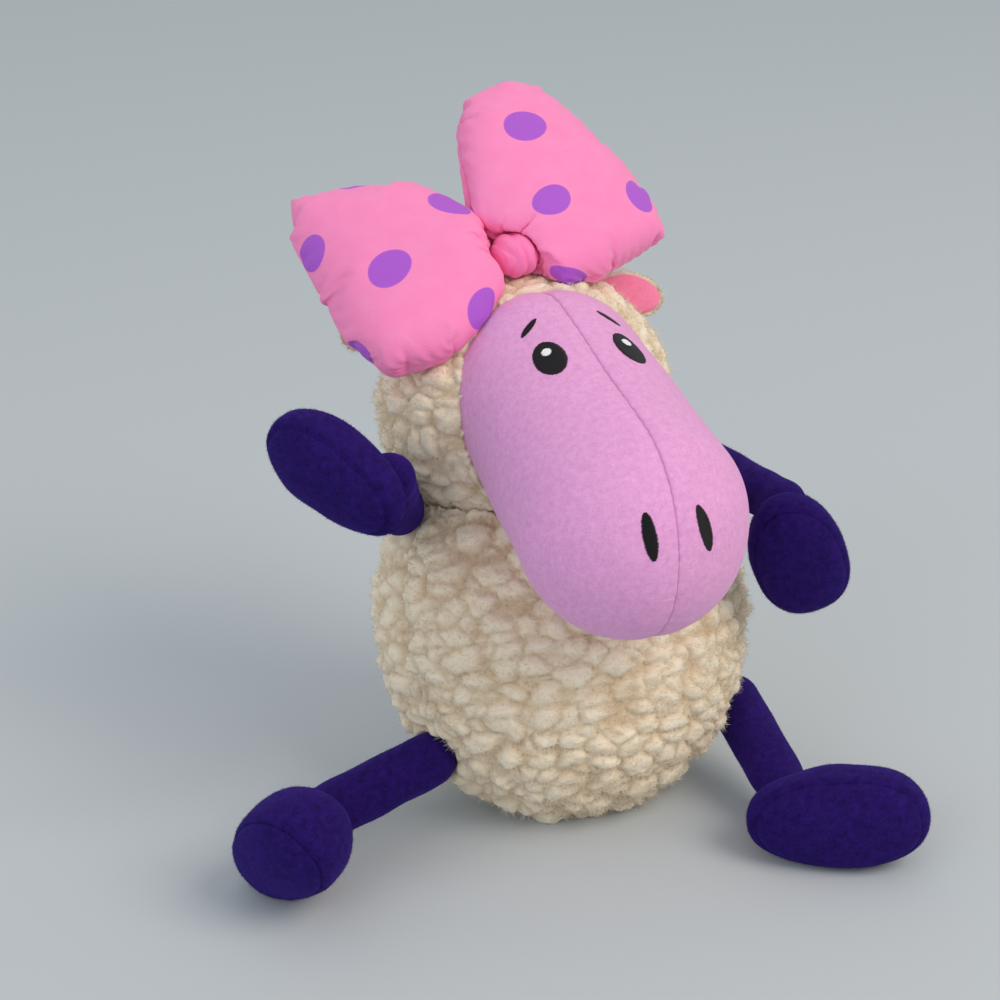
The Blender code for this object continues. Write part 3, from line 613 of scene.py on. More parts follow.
muzzle_start = MUZZLE_PLACE.translation
muzzle_end = MUZZLE_PLACE @ Vector((0.0, 0.0, -MUZZLE_LENGTH))
MUZZLE = roll_distance(muzzle_start, muzzle_end, BROW_RADIUS, SNOUT_RADIUS)
HEAD = egg_distance(HEAD_PLACE, HEAD_RADII)

LIMBS = {
    "leg_left": ("hip_left_lift", "ankle_left_bend", 8.8 * MM),
    "leg_right": ("hip_right_lift", "ankle_right_bend", 8.8 * MM),
    "arm_left": ("shoulder_left_swing", "wrist_left_bend", 7.8 * MM),
    "arm_right": ("shoulder_right_swing", "wrist_right_bend", 7.8 * MM),
}


def turns_of(joint, steps):
    """Even steps through the range of a joint, in radians, and its axis."""
    low, high = (math.radians(limit) for limit in JOINTS[joint]["range_deg"])
    return [low + (high - low) * i / steps for i in range(steps + 1)], Vector(JOINTS[joint]["axis"])


def limb_rolls(stem):
    """The rolls that a limb fills at rest and at even steps of its hinge's range."""
    root, end, radius = LIMBS[stem]
    start, (turns, axis) = pivot(root), turns_of(root, 5)
    ends = [start + Matrix.Rotation(turn, 3, axis) @ (pivot(end) - start) for turn in turns + [0.0]]
    return [roll_distance(start, end, radius) for end in ends]


print("muzzle from", muzzle_start[:], "to", muzzle_end[:])

# %% [markdown]
# ## The face
# Two velour panels are sewn together down the middle of the muzzle. The seam pulls the cloth in, with
# small puckers beside it. A globe laid along the muzzle's outline gives the whole form. It is dished
# where it sits on the head ball, creased along the seam, and then cut into two closed halves.


# %% Muzzle form
RIM_SINK = 4.0 * MM
muzzle = globe("muzzle", 220, 170)
outline = arc(BROW_RADIUS, 0.0, 90, 0, 24) + arc(SNOUT_RADIUS, -MUZZLE_LENGTH, 0, -90, 40)
local = lay_on_outline(read_points(muzzle), outline)
beside = np.abs(local[:, 0])
crease = 0.55 * MM * np.exp(-beside / (0.7 * MM)) + 0.45 * MM * np.exp(-(beside / (3.6 * MM)) ** 2)
along = np.where(local[:, 1] > 0, 1.0, -1.0) * (local[:, 2] - local[:, 1])
gathers = np.sin(along / (0.75 * MM) + 2.0 * lumps(local, 9.0 * MM, 3)) * np.exp(-beside / (2.6 * MM))
swell = 0.7 * MM * lumps(local, 26.0 * MM, 1)
local = raised(muzzle, local, swell + 0.16 * MM * gathers - crease)
far_ahead = MUZZLE_PLACE @ Vector((0.0, 0.0, -MUZZLE_LENGTH - 200.0 * MM))
sunk_head = egg_distance(HEAD_PLACE, HEAD_RADII - RIM_SINK)
write_points(muzzle, make_room(put(local, MUZZLE_PLACE), far_ahead, [sunk_head], 0.3 * MM))
print("muzzle of", len(local), "points")

# %% [markdown]
# The form is cut along the seam, because the real face is two panels of velour. A search tree over both
# tells the embroidery where the velour lies.

# %% Two panels
face_right = cut_in_two(muzzle, "face_right", MUZZLE_PLACE, (0.0, 0.0, 0.0), (1.0, 0.0, 0.0))
FACE_TREE = tree_of(muzzle, face_right)
for piece, word in ((muzzle, "left"), (face_right, "right")):
    hand_in(piece, "velour_face_" + word, VELOUR, "head", ["face_%s_panel" % word])

# %% [markdown]
# ## Embroidery
# The eyes, their highlights, the brows and the nostrils are satin stitch: threads laid side by side, each
# one from edge to edge of the shape. One thread is modelled as a thin roll and copied for each stitch.
# Every copy is bent over the velour below it and dips into it at both ends.

# %% Satin stitch
STITCH_PITCH = 0.42 * MM
STITCH_HEIGHT = 0.26 * MM
STITCH_JITTER = 0.12 * MM
STITCH_DIP = 0.3 * MM


def one_thread():
    """A six-sided roll along X, from -1 to 1, cut across so that it can bend."""
    piece = add_form("thread", bpy.ops.mesh.primitive_cylinder_add, vertices=6, radius=1.0, depth=2.0,
                     rotation=(0.0, math.pi / 2, 0.0))
    bpy.ops.object.transform_apply(location=True, rotation=True, scale=True)
    for level in (-0.94, -0.7, -0.4, 0.0, 0.4, 0.7, 0.94):
        edit_all(piece, bpy.ops.mesh.bisect, plane_co=(level, 0.0, 0.0), plane_no=(1.0, 0.0, 0.0))
    return piece


THREAD = one_thread()
THREAD_POINTS = read_points(THREAD)
print("one thread has", len(THREAD_POINTS), "points")


def on_velour(place, u, v, height):
    """The point over (u, v) of a patch, so high above the velour."""
    start = place @ Vector((u, v, 12 * MM))
    down = -(place.to_3x3() @ Vector((0.0, 0.0, 1.0)))
    hit, normal, face, gap = FACE_TREE.ray_cast(start, down)
    return hit + normal * height if hit is not None else place @ Vector((u, v, height))


def satin(name, place, rows, under, dice):
    """Threads along U, one for each row of (v, first u, last u), lying on the velour."""
    stitches = []
    for v, first, last in rows:
        first += dice.uniform(-STITCH_JITTER, STITCH_JITTER)
        last += dice.uniform(-STITCH_JITTER, STITCH_JITTER)
        stitch = twin(THREAD, name)
        bent = []
        for x, y, z in THREAD_POINTS:
            u = first + (last - first) * (x + 1) / 2
            taper = 0.45 + 0.55 * (1.0 - abs(x) ** 6)
            dip = STITCH_DIP if abs(x) > 0.97 else 0.0
            rise = under + STITCH_HEIGHT * (0.62 * z * taper + 0.35) - dip
            bent.append(on_velour(place, u, v + y * taper * STITCH_PITCH * 0.56, rise))
        write_points(stitch, np.array(bent))
        stitches.append(stitch)
    pick(*reversed(stitches))
    bpy.ops.object.join()
    return stitches[0]


# %% [markdown]
# The eyes look forward from the muzzle's sides, 21 mm along it, with a short slanting brow stitch behind
# each. The nostrils are long ovals on the round end. Their angles round the muzzle come from the photo.


# %% Eyes, brows and nostrils
def oval_rows(half_width, half_height):
    """Rows of stitches that fill an oval."""
    count = int(2 * half_height / STITCH_PITCH)
    rows = []
    for i in range(count):
        v = -half_height + (i + 0.5) * 2 * half_height / count
        span = half_width * math.sqrt(max(1.0 - (v / half_height) ** 2, 0.0))
        rows.append((v, -span, span))
    return rows


def on_muzzle(along, side_angle, roll):
    radius = BROW_RADIUS + (SNOUT_RADIUS - BROW_RADIUS) * along / MUZZLE_LENGTH
    turn = Matrix.Rotation(side_angle, 4, "Z") @ Matrix.Rotation(math.pi / 2, 4, "X")
    start = MUZZLE_PLACE @ Matrix.Translation((0.0, 0.0, -along)) @ turn
    return start @ Matrix.Translation((0.0, 0.0, radius)) @ Matrix.Rotation(roll, 4, "Z")


def on_snout(side_angle, rise_angle):
    centre = MUZZLE_PLACE @ Matrix.Translation((0.0, 0.0, -MUZZLE_LENGTH))
    turn = Matrix.Rotation(-side_angle, 4, "Y") @ Matrix.Rotation(math.pi - rise_angle, 4, "X")
    return centre @ turn @ Matrix.Translation((0.0, 0.0, SNOUT_RADIUS))


dice = random.Random(5)
for word, side in (("left", 1), ("right", -1)):
    eye = on_muzzle(21.0 * MM, side * math.radians(23.0), 0.0)
    brow = on_muzzle(4.0 * MM, side * math.radians(24.0), -side * math.radians(38.0))
    nostril = on_snout(side * math.radians(17.0), math.radians(33.0))
    nostril = nostril @ Matrix.Rotation(math.radians(4.0 if side > 0 else 15.0), 4, "Z")
    upright = Matrix.Rotation(math.pi / 2, 4, "Z")
    glint = eye @ Matrix.Translation((0.0, 2.6 * MM, 0.0))
    shapes = (  # name, place, half width and half height in mm, height above the velour, thread
        ("eye_", eye, 5.2, 7.8, 0.0, "black_thread"),
        ("eye_glint_", glint, 1.6, 1.6, 0.34 * MM, "white_thread"),
        ("brow_", brow @ upright, 1.25, 4.2, 0.0, "black_thread"),
        ("nostril_", nostril, 2.2, 7.0, 0.0, "black_thread"),
    )
    for stem, place, half_width, half_height, under, slot in shapes:
        name = "stitched_" + stem + word
        piece = satin(name, place, oval_rows(half_width * MM, half_height * MM), under, dice)
        hand_in(piece, name, THREADS[slot], "head", [stem + word])
bpy.data.objects.remove(THREAD, do_unlink=True)

# %% [markdown]
# ## The bow
# Each loop is a stuffed pillow of printed cotton, sewn round its edge and gathered where it meets the
# knot. Two flat panels are joined at their edges and blown up by a cloth simulation, which finds the
# fullness of the pillow, the slack along its seam and the folds at the gather. The simulation runs at
# twenty times the real size, where the solver is at its steadiest.

# %% Places and patterns of the loops
LOOP_LENGTH = 60.0 * MM
LOOP_HALF_WIDTH = 36.0 * MM
LOOP_THICKNESS = 30.0 * MM
KNOT_RADIUS = 6.8 * MM

HEAD_TURN = HEAD_PLACE.to_3x3()
side_angle, back_angle = math.radians(-5.0), math.radians(-4.0)
unit = np.array((math.sin(side_angle), math.sin(back_angle) * math.cos(side_angle),
                 math.cos(back_angle) * math.cos(side_angle)))
knot_out = HEAD_TURN @ Vector(unit / HEAD_RADII).normalized()
KNOT_CENTRE = HEAD_PLACE @ Vector(unit * HEAD_RADII) + knot_out * (KNOT_RADIUS + 0.3 * MM)
LOOPS = {
    "left": (Vector((0.704, 0.613, 0.361)), Vector((0.106, -0.590, 0.801))),
    "right": (Vector((-0.938, 0.273, -0.211)), Vector((-0.27, -0.54, 0.80))),
}

# The outline of each flat panel in mm, seen from the knot: its near edge, its far edge and its two sides
PANELS = {
    "left": (((2, -19), (0, -3), (6, 17)),
             ((43, -36), (53, -25), (61, -9), (67, 12), (70, 27), (63, 38)),
             ((2, -19), (14, -26), (38, -34), (43, -36)),
             ((6, 17), (24, 31), (37, 40), (48, 42), (63, 38))),
    "right": (((11, -16), (4, -2), (7, 14)),
              ((65, -38), (67, -23), (65, -13), (62, 2), (56, 19), (50, 30), (46, 34)),
              ((11, -16), (17, -24), (27, -34), (42, -36), (65, -38)),
              ((7, 14), (15, 25), (25, 32), (39, 33), (46, 34))),
}
ALONG_STEPS = 52
ACROSS_STEPS = 66
CUT_LARGER = 1.13  # a filled pillow is smaller than its flat panels, so they are cut so much larger
CLOTH_STRETCH = 1.2  # the pressure stretches the cloth, and its print with it
DOT_PLACES = {"left": (28.6, 0.0, 46.0), "right": (47.9, 5.5, 52.0)}  # mm along, mm across, degrees
print("knot at", KNOT_CENTRE[:])

# %% [markdown]
# A grid is spread between the four edges of the pattern, extruded into a thin bag and turned outwards. Its
# flat shape is kept as the UV map, as cloth is printed before it is sewn.


# %% Bag of one loop
def between_edges(a, b, edges, corners):
    """The even blend of four edges: a runs from the near one to the far one, b from side to side."""
    a, t = a[:, None], (b[:, None] + 1.0) / 2.0
    near, far, low, high = edges
    across, along = (1 - a) * near + a * far, (1 - t) * low + t * high
    return (across + along - (1 - a) * ((1 - t) * corners[0] + t * corners[1])
            - a * ((1 - t) * corners[2] + t * corners[3]))


def panel_place(word, a, b):
    """The points of a flat panel, laid out evenly between its four edges."""
    near, far, low, high = (np.array(edge, dtype=float) for edge in PANELS[word])
    t = (b + 1.0) / 2.0
    edges = (on_line(near, t), on_line(far, t), on_line(low, a), on_line(high, a))
    return between_edges(a, b, edges, (near[0], near[-1], far[0], far[-1])) * MM


def bag(word):
    """A flat grid extruded into a thin closed bag, with the flat pattern as its UV map."""
    piece = add_form("loop_" + word, bpy.ops.mesh.primitive_grid_add, x_subdivisions=ALONG_STEPS,
                     y_subdivisions=ACROSS_STEPS, size=2.0)
    edit_all(piece, bpy.ops.mesh.extrude_region_move, TRANSFORM_OT_translate={"value": (0.0, 0.0, 1.0)})
    edit_all(piece, bpy.ops.mesh.normals_make_consistent, inside=False)
    grid = read_points(piece)
    a, b = (grid[:, 0] + 1.0) / 2.0, grid[:, 1]
    side = np.where(grid[:, 2] > 0.5, 1.0, -1.0)
    outline = panel_place(word, a, b)
    flat = (outline - outline.mean(axis=0)) * CUT_LARGER + outline.mean(axis=0)
    layer = piece.data.uv_layers.active or piece.data.uv_layers.new(name="cloth")
    layer.name = "cloth"
    across, up, turn = DOT_PLACES[word]
    turned, first_dot = Matrix.Rotation(math.radians(-turn), 2), Vector((across, up)) * MM
    for loop in piece.data.loops:
        layer.data[loop.index].uv = turned @ (Vector(flat[loop.vertex_index]) * CLOTH_STRETCH - first_dot)
    return piece, a, b, side, outline, flat


# %% [markdown]
# The knot holds the middle of the near edge, and the cloth beside it starts in folds. Pressure does the
# rest in some thirty frames, without gravity.

# %% Filling the bag
SIM_SCALE = 20.0
SIM_FRAMES = 35
CLOTH = {"quality": 6, "mass": 0.3, "tension_stiffness": 25.0, "compression_stiffness": 25.0,
         "shear_stiffness": 12.0, "bending_stiffness": 0.12, "air_damping": 2.0,
         "use_pressure": True, "uniform_pressure_force": 14.0}
BAG_GAP = 0.6 * MM
GATHER_DEPTH = 1.8 * MM
GRIPPED_LENGTH = 0.22
GRIPPED_WIDTH = 0.75
HELD_WIDTH = 0.42


def blow_up(piece, a, b, side, flat):
    """Let the bag fill: a cloth simulation with pressure, held where the knot grips it."""
    rest = np.column_stack((flat, side * BAG_GAP))
    grip = (np.clip(1.0 - a / GRIPPED_LENGTH, 0.0, 1.0) ** 1.5
            * np.clip(1.0 - np.abs(b) / GRIPPED_WIDTH, 0.0, 1.0) ** 0.5)
    start = rest.copy()
    start[:, 2] += GATHER_DEPTH * grip * np.sin(b * math.pi * 3.5 + np.where(side > 0, 0.6, 2.0))
    write_points(piece, rest * SIM_SCALE)
    piece.shape_key_add(name="flat")
    key = piece.shape_key_add(name="start")
    key.data.foreach_set("co", (start * SIM_SCALE).ravel())
    key.value = 1.0
    held = piece.vertex_groups.new(name="gripped_edge")
    gripped = np.nonzero((a < 1e-6) & (np.abs(b) < HELD_WIDTH))[0]
    held.add([int(i) for i in gripped], 1.0, "REPLACE")
    pick(piece)
    bpy.ops.object.modifier_add(type="CLOTH")
    cloth = piece.modifiers[-1].settings
    for setting, value in CLOTH.items():
        setattr(cloth, setting, value)
    cloth.effector_weights.gravity = 0.0
    cloth.vertex_group_mass = "gripped_edge"
    cloth.rest_shape_key = piece.data.shape_keys.key_blocks["flat"]
    for step in range(1, SIM_FRAMES + 1):
        bpy.context.scene.frame_set(step)
    shape = piece.evaluated_get(bpy.context.evaluated_depsgraph_get())
    blown = np.array([v.co for v in shape.data.vertices]) / SIM_SCALE
    bpy.ops.object.modifier_remove(modifier=piece.modifiers[-1].name)
    piece.shape_key_clear()
    bpy.context.scene.frame_set(1)
    return blown


# %% [markdown]
# The seam of the blown pillow is then eased back to the outline that it is meant to have. Only its long
# swings are eased, so its puckers stay, and small gathers that run in from it are added.

# %% Seam and gathers
SEAM_WAVES = np.arange(1, 5)


def grid_spots(a, b):
    """The row and the column of each point of a bag. Front and back share them."""
    return np.rint(a * ALONG_STEPS).astype(int), np.rint((b + 1.0) / 2.0 * ACROSS_STEPS).astype(int)


def layer_means(values, spots):
    """The mean of front and back at each spot of the grid."""
    means = np.zeros((ALONG_STEPS + 1, ACROSS_STEPS + 1, values.shape[1]))
    counts = np.zeros((ALONG_STEPS + 1, ACROSS_STEPS + 1, 1))
    np.add.at(means, spots, values)
    np.add.at(counts, spots, 1.0)
    return means / counts


def ease_outline(blown, a, b, outline):
    """Bend the blown pillow in its own plane until its seam follows the outline."""
    rows, columns = grid_spots(a, b)
    moved = layer_means(outline - blown[:, :2], (rows, columns))
    lines = []
    for line in (moved[0], moved[-1], moved[:, 0], moved[:, -1]):
        share = np.linspace(0.0, 1.0, len(line))[:, None]
        ramp = line[0] + (line[-1] - line[0]) * share
        waves = np.sin(math.pi * share * SEAM_WAVES)
        lines.append(ramp + waves @ np.linalg.lstsq(waves, line - ramp, rcond=None)[0])
    near, far, low, high = lines
    edges = (near[columns], far[columns], low[rows], high[rows])
    ease = between_edges(a, b, edges, (near[0], near[-1], far[0], far[-1]))
    return np.column_stack((blown[:, :2] + ease, blown[:, 2]))


def pucker(piece, blown, a, b, seed):
    """Small gathers that run in from the seam, where the thread has drawn the cloth up."""
    to_near, to_far, to_side = a * LOOP_LENGTH, (1.0 - a) * LOOP_LENGTH, (1.0 - np.abs(b)) * LOOP_HALF_WIDTH
    to_end = np.minimum(to_near, to_far)
    inward = np.minimum(to_end, to_side)
    along = np.where(to_side < to_end, to_near, b * LOOP_HALF_WIDTH)
    strength = 0.45 + 0.55 * np.clip(lumps(blown, 21.0 * MM, seed + 4) + 0.4, 0.0, 1.0)
    wave = np.sin(along / (0.85 * MM) + 3.0 * lumps(blown, 9.0 * MM, seed)) * strength
    fade = np.exp(-inward / (5.0 * MM)) * np.clip(inward / (1.2 * MM), 0.0, 1.0)
    return raised(piece, blown, 0.75 * MM * wave * fade)


# %% [markdown]
# Each loop is set in its place and kept clear of the head, the muzzle and the knot. Front and back are the
# two layers of the bag, each closed by a sheet halfway between them, so that they meet at the seam.

# %% Two loops, front and back
KNOT_PLACE = place_at(KNOT_CENTRE, turn_from(LOOPS["left"][0] - LOOPS["right"][0], knot_out))
KNOT_RADII = np.array((6.9, 8.8, 6.9)) * MM
KNOT = egg_distance(KNOT_PLACE, KNOT_RADII)
loop_pieces = []
for word, (aim, facing) in LOOPS.items():
    piece, a, b, sides, outline, flat = bag(word)
    blown = ease_outline(blow_up(piece, a, b, sides, flat), a, b, outline)
    low, high = blown.min(axis=0), blown.max(axis=0)
    print("blown", word, ((high - low) / MM).round(1), "mm")
    blown[:, 2] *= min(LOOP_THICKNESS / (high[2] - low[2]), 1.25)
    blown = pucker(piece, blown, a, b, len(loop_pieces))
    place = place_at(KNOT_CENTRE, HEAD_TURN @ turn_from(aim, facing))
    middle = place @ Vector((LOOP_LENGTH * 0.55, 0.0, 0.0))
    world = make_room(put(blown, place), middle, [HEAD, MUZZLE, KNOT], 0.4 * MM)
    spots = grid_spots(a, b)
    between = layer_means(world, spots)[spots]
    out = np.array(place.to_3x3() @ Vector((0.0, 0.0, 1.0)))
    for kind, layer in (("front", 1.0), ("back", -1.0)):
        half = twin(piece, "loop_%s_%s" % (word, kind))
        own = (sides == layer)[:, None]
        write_points(half, np.where(own, world, between + out * layer * 0.1 * MM))
        rounder = half.modifiers.new("rounder", "SUBSURF")
        rounder.levels = rounder.render_levels = 1
        apply_modifier(half, rounder)
        replaced = ["bow_%s_%s_cotton" % (word, kind)]
        if kind == "back":
            replaced.append("bow_%s_stuffing" % word)
        hand_in(half, "cotton_loop_%s_%s" % (word, kind), COTTON, "head", replaced)
        loop_pieces.append(half)
    bpy.data.objects.remove(piece, do_unlink=True)
BOW = mesh_distance(tree_of(*loop_pieces))

# %% [markdown]
# The knot is a strip of plain pink cotton, pulled tight round the waist of the bow, so it bunches into
# pleats.

# %% Knot
KNOT_OUTLINE = [(0.0, 6.9), (2.2, 6.6), (4.2, 5.6), (5.8, 3.9), (6.6, 1.5)]  # mm: radius, height
PLEAT_DEPTH = 0.8 * MM
PLEAT_WIDTH = 1.45 * MM
KNOT_STRETCH = 1.26
knot = globe("knot", 96, 90)
mirrored = [(radius, -height) for radius, height in reversed(KNOT_OUTLINE)]
local = lay_on_outline(read_points(knot), np.array(KNOT_OUTLINE + mirrored) * MM)
ring = np.hypot(local[:, 0], local[:, 1])
pleat = np.abs(np.sin(local[:, 2] / PLEAT_WIDTH + 1.3 * lumps(local, 6.0 * MM, 4))) - 0.6
rise = PLEAT_DEPTH * pleat * np.clip(ring / (5.0 * MM), 0.0, 1.0)
local[:, :2] *= (1.0 + rise / np.maximum(ring, 1e-6))[:, None]
local = local[:, [2, 0, 1]] * [1.0, KNOT_STRETCH, 1.0]
write_points(knot, make_room(put(local, KNOT_PLACE), KNOT_CENTRE, [HEAD, MUZZLE], 0.2 * MM))
edit_all(knot, bpy.ops.mesh.normals_make_consistent, inside=False)
hand_in(knot, "cotton_knot", KNOT_COTTON, "head", ["bow_knot"])

# %% [markdown]
# ## The ears
# Each ear is a small fleece leaf with a pink plush face. The fleece is cut a little larger, so its curls
# show as a rim round the pink.

# %% Ears
EAR_LENGTH = 26.0 * MM
EAR_HALF_WIDTH = 7.8 * MM
EAR_ROOT = 4.2 * MM
EAR_HALF_DEPTH = 3.1 * MM
FLEECE_WIDTH = 0.1 * MM
for word, side in (("left", 1), ("right", -1)):
    root = pivot("ear_%s_swing" % word)
    turn = HEAD_TURN @ turn_from((0.90 * side, -0.42, -0.10), (-0.10 * side, -0.88, 0.46))
    place = place_at(root, turn) @ Matrix.Translation((EAR_LENGTH / 2 - EAR_ROOT, 0.0, 0.0))
    for kind in ("fleece", "lining"):
        leaf = ball("ear_%s_%s" % (word, kind), 6)
        unit = read_points(leaf)
        share = EAR_ROOT / EAR_HALF_WIDTH
        along = (unit[:, 0] + 1.0) / 2.0
        local = unit.copy()
        local[:, 1] *= share + (1.0 - share) * np.sin(math.pi / 2 * np.minimum(along / 0.6, 1.0))
        if kind == "fleece":
            local *= [EAR_LENGTH / 2, EAR_HALF_WIDTH, EAR_HALF_DEPTH]
            nap = clumps(put(local, place), (5.0 * MM,) * 3, 2 + side)
            write_points(leaf, raised(leaf, local, (nap - 0.45) * 1.7 * MM))
            mark_nap(leaf, nap)
            finish, slot, front = FLEECE, "cream_fleece", 1.0
        else:
            local *= [EAR_LENGTH / 2 * 0.93, EAR_HALF_WIDTH * 0.86, EAR_HALF_DEPTH]
            dish = np.clip(1.0 - (unit[:, 0] ** 2 + unit[:, 1] ** 2), 0.0, 1.0)
            local[:, 2] -= np.where(unit[:, 2] > 0, dish * 1.3 * MM, 0.0)
            write_points(leaf, local)
            finish, slot, front = LINING, "pink_lining", -1.0
        cut_away(leaf, (0.0, 0.0, -0.1 * MM * front), (0.0, 0.0, front))
        world = make_room(put(read_points(leaf), place), place @ Vector((6.0 * MM, 0, 0)), [HEAD], 0.1 * MM)
        write_points(leaf, world)
        if kind == "fleece":
            fuzz(leaf, 1500, 2.0 * MM, FLEECE_WIDTH, 6 + side, [HEAD, BOW], 0.3 * MM)
        hand_in(leaf, "%s_ear_%s" % (kind, word), finish, "ear_" + word, ["ear_%s_%s" % (word, kind)])

# %% [markdown]
# ## The head
# The head is a fleece ball. Its clumps are pushed outwards from an even ball. They are flattened where
# they would meet the body as the head nods, and drawn in round the muzzle, the bow, the ears and the arms.

# %% Head
def body_as_head_nods():
    """The body's egg as the head meets it at each step of its nod."""
    where, (turns, axis) = pivot("neck_nod"), turns_of("neck_nod", 4)
    nods = [Matrix.Translation(where) @ Matrix.Rotation(-turn, 4, axis) @ Matrix.Translation(-where)
            for turn in turns]
    return [egg_distance(nod @ BODY_PLACE, BODY_RADII) for nod in nods]


FLEECE_FIBRE = 2.8 * MM
head = ball("head", 7)
local = read_points(head) * HEAD_RADII
nap = clumps(put(local, HEAD_PLACE), (9.0 * MM, 9.0 * MM, 6.5 * MM), 1)
local = raised(head, local, (nap - 0.5) * 4.4 * MM)
world = put(local, HEAD_PLACE)
nods = body_as_head_nods()
sunk = np.min([egg(world) for egg in nods], axis=0) < 3.0 * MM
ratio = np.maximum(np.linalg.norm(local / HEAD_RADII, axis=1), 1.0)
local[sunk] /= ratio[sunk][:, None]
world = put(local, HEAD_PLACE)
near_head = [MUZZLE, KNOT, BOW]
for root in (pivot("ear_left_swing"), pivot("ear_right_swing")):
    near_head.append(roll_distance(root, root + Vector((0, 0, 0.1 * MM)), 4.0 * MM))
near_head += limb_rolls("arm_left") + limb_rolls("arm_right")
world = make_room(world, pivot("neck_nod"), near_head, 0.35 * MM)
write_points(head, world)
mark_nap(head, nap)
fuzz(head, 16000, FLEECE_FIBRE, FLEECE_WIDTH, 1, near_head + nods, 0.2 * MM)
hand_in(head, "fleece_head", FLEECE, "head", ["head_fleece", "head_stuffing"])

# %% [markdown]
# ## The body
# Front and back are two fleece panels. The side seam pulls the cloth in, so a crease runs down each side
# between two soft edges of curls. The egg is dished under the head and drawn in round the limbs, over
# all that they sweep through, and it sits flat on the floor.

# %% Body
body = globe("body", 460, 250)
unit = read_points(body)
swell = 1.0 - BODY_TAPER * unit[:, 2]
local = np.column_stack((unit[:, 0] * swell, unit[:, 1] * swell, unit[:, 2])) * BODY_RADII
nap = clumps(local, (9.5 * MM, 9.5 * MM, 6.2 * MM), 7)
to_seam = np.abs(local[:, 1] - BODY_SEAM)
crease = 2.6 * MM * np.exp(-to_seam / (1.6 * MM)) + 1.0 * MM * np.exp(-(to_seam / (6.0 * MM)) ** 2)
sag = 1.2 * MM * lumps(local, 34.0 * MM, 5)
local = raised(body, local, (nap - 0.5) * 5.0 * MM + sag - crease)
room = [egg_distance(HEAD_PLACE, HEAD_RADII + 0.1 * MM), MUZZLE]
for stem in LIMBS:
    room += limb_rolls(stem)
middle = BODY_PLACE @ Vector((0.0, 0.0, -6.0 * MM))
world = make_room(put(local, BODY_PLACE), middle, room, 0.35 * MM)
world[:, 2] = np.maximum(world[:, 2], 0.0)
write_points(body, world)
mark_nap(body, nap)

# %% [markdown]
# The body is cut at the side seam, and each half gets its own loose wool.

# %% Body panels
body_back = cut_in_two(body, "body_back", BODY_PLACE, (0.0, BODY_SEAM, 0.0), (0.0, -1.0, 0.0))
for half, word, count, seed, inside in ((body, "front", 15000, 2, []),
                                        (body_back, "back", 11000, 3, ["body_stuffing"])):
    fuzz(half, count, FLEECE_FIBRE, FLEECE_WIDTH, seed, room, 0.2 * MM)
    replaced = ["body_%s_fleece" % word] + inside
    hand_in(half, "fleece_body_" + word, FLEECE, "body", replaced)

# %% [markdown]
# ## The tail
# A tuft of the same fleece, low on the back.

# %% Tail
TAIL_RADII = np.array((13.0, 15.0, 11.0)) * MM
TAIL_PLACE = Matrix.Translation((0.0, 45.26 * MM, 10.5 * MM))
tail = ball("tail", 6)
local = read_points(tail) * TAIL_RADII
nap = clumps(local, (6.0 * MM,) * 3, 12)
local = raised(tail, local, (nap - 0.6) * 2.6 * MM)
BODY_EGG = egg_distance(BODY_PLACE, BODY_RADII + 1.5 * MM)
world = make_room(put(local, TAIL_PLACE), TAIL_PLACE @ Vector((0.0, 10.0 * MM, 0.0)), [BODY_EGG], 0.0)
world[:, 2] = np.maximum(world[:, 2], 0.0)
write_points(tail, world)
mark_nap(tail, nap)
fuzz(tail, 2500, 2.2 * MM, FLEECE_WIDTH, 4, [BODY_EGG])
hand_in(tail, "fleece_tail", FLEECE, "body", ["tail_fleece"])

# %% [markdown]
# ## The limbs
# An arm or a leg is a stuffed sleeve of short plush with a boot sewn to its end, and the boot has an oval
# sole of its own. The sleeve is closed like a sausage.

# %% Forms of the sleeves and boots
FOOT = np.array((58.0, 35.0, 38.0)) * MM
HAND = np.array((48.0, 33.0, 27.0)) * MM
HEEL_TAPER = 0.16
SOLE_BULGE = 0.72
SOLE_SEAM = 0.30
BALL_SINK = 0.80
SQUARE_POWER = 2.22
PILE_LENGTH = 1.0 * MM
PILE_WIDTH = 0.07 * MM
BOOTS = {
    "leg_left": ("foot_left", FOOT, 13.0 * MM, (0.863, -0.493, 0.109), (-0.501, -0.862, 0.075)),
    "leg_right": ("foot_right", FOOT, 13.0 * MM, (0.129, -0.764, 0.632), (-0.808, -0.451, -0.379)),
    "arm_left": ("hand_left", HAND, 12.0 * MM, (0.418, 0.145, -0.897), (-0.298, -0.911, -0.286)),
    "arm_right": ("hand_right", HAND, 12.0 * MM, (-0.609, 0.599, 0.519), (-0.778, -0.578, -0.246)),
}


def sleeve_points(piece, radius, length, seed):
    outline = arc(radius, 0.0, 90, 0, 10) + arc(radius, -length, 0, -90, 10)
    local = lay_on_outline(read_points(piece), outline)
    folds = np.exp(-((local[:, 2] + length * 0.86) / (3.5 * MM)) ** 2) * 0.5 * MM
    return raised(piece, local, 0.5 * MM * lumps(local, 11.0 * MM, seed) - folds)


def boot_centre(size, heel, radius):
    forward = size[0] / 2 - heel
    share = -forward / (size[0] / 2)
    top = size[2] / 2 * math.sqrt(1.0 - share ** 2) * (1.0 + HEEL_TAPER * (share - 1.0) / 2.0)
    return Vector((forward, 0.0, -top - radius * (1.0 - BALL_SINK)))


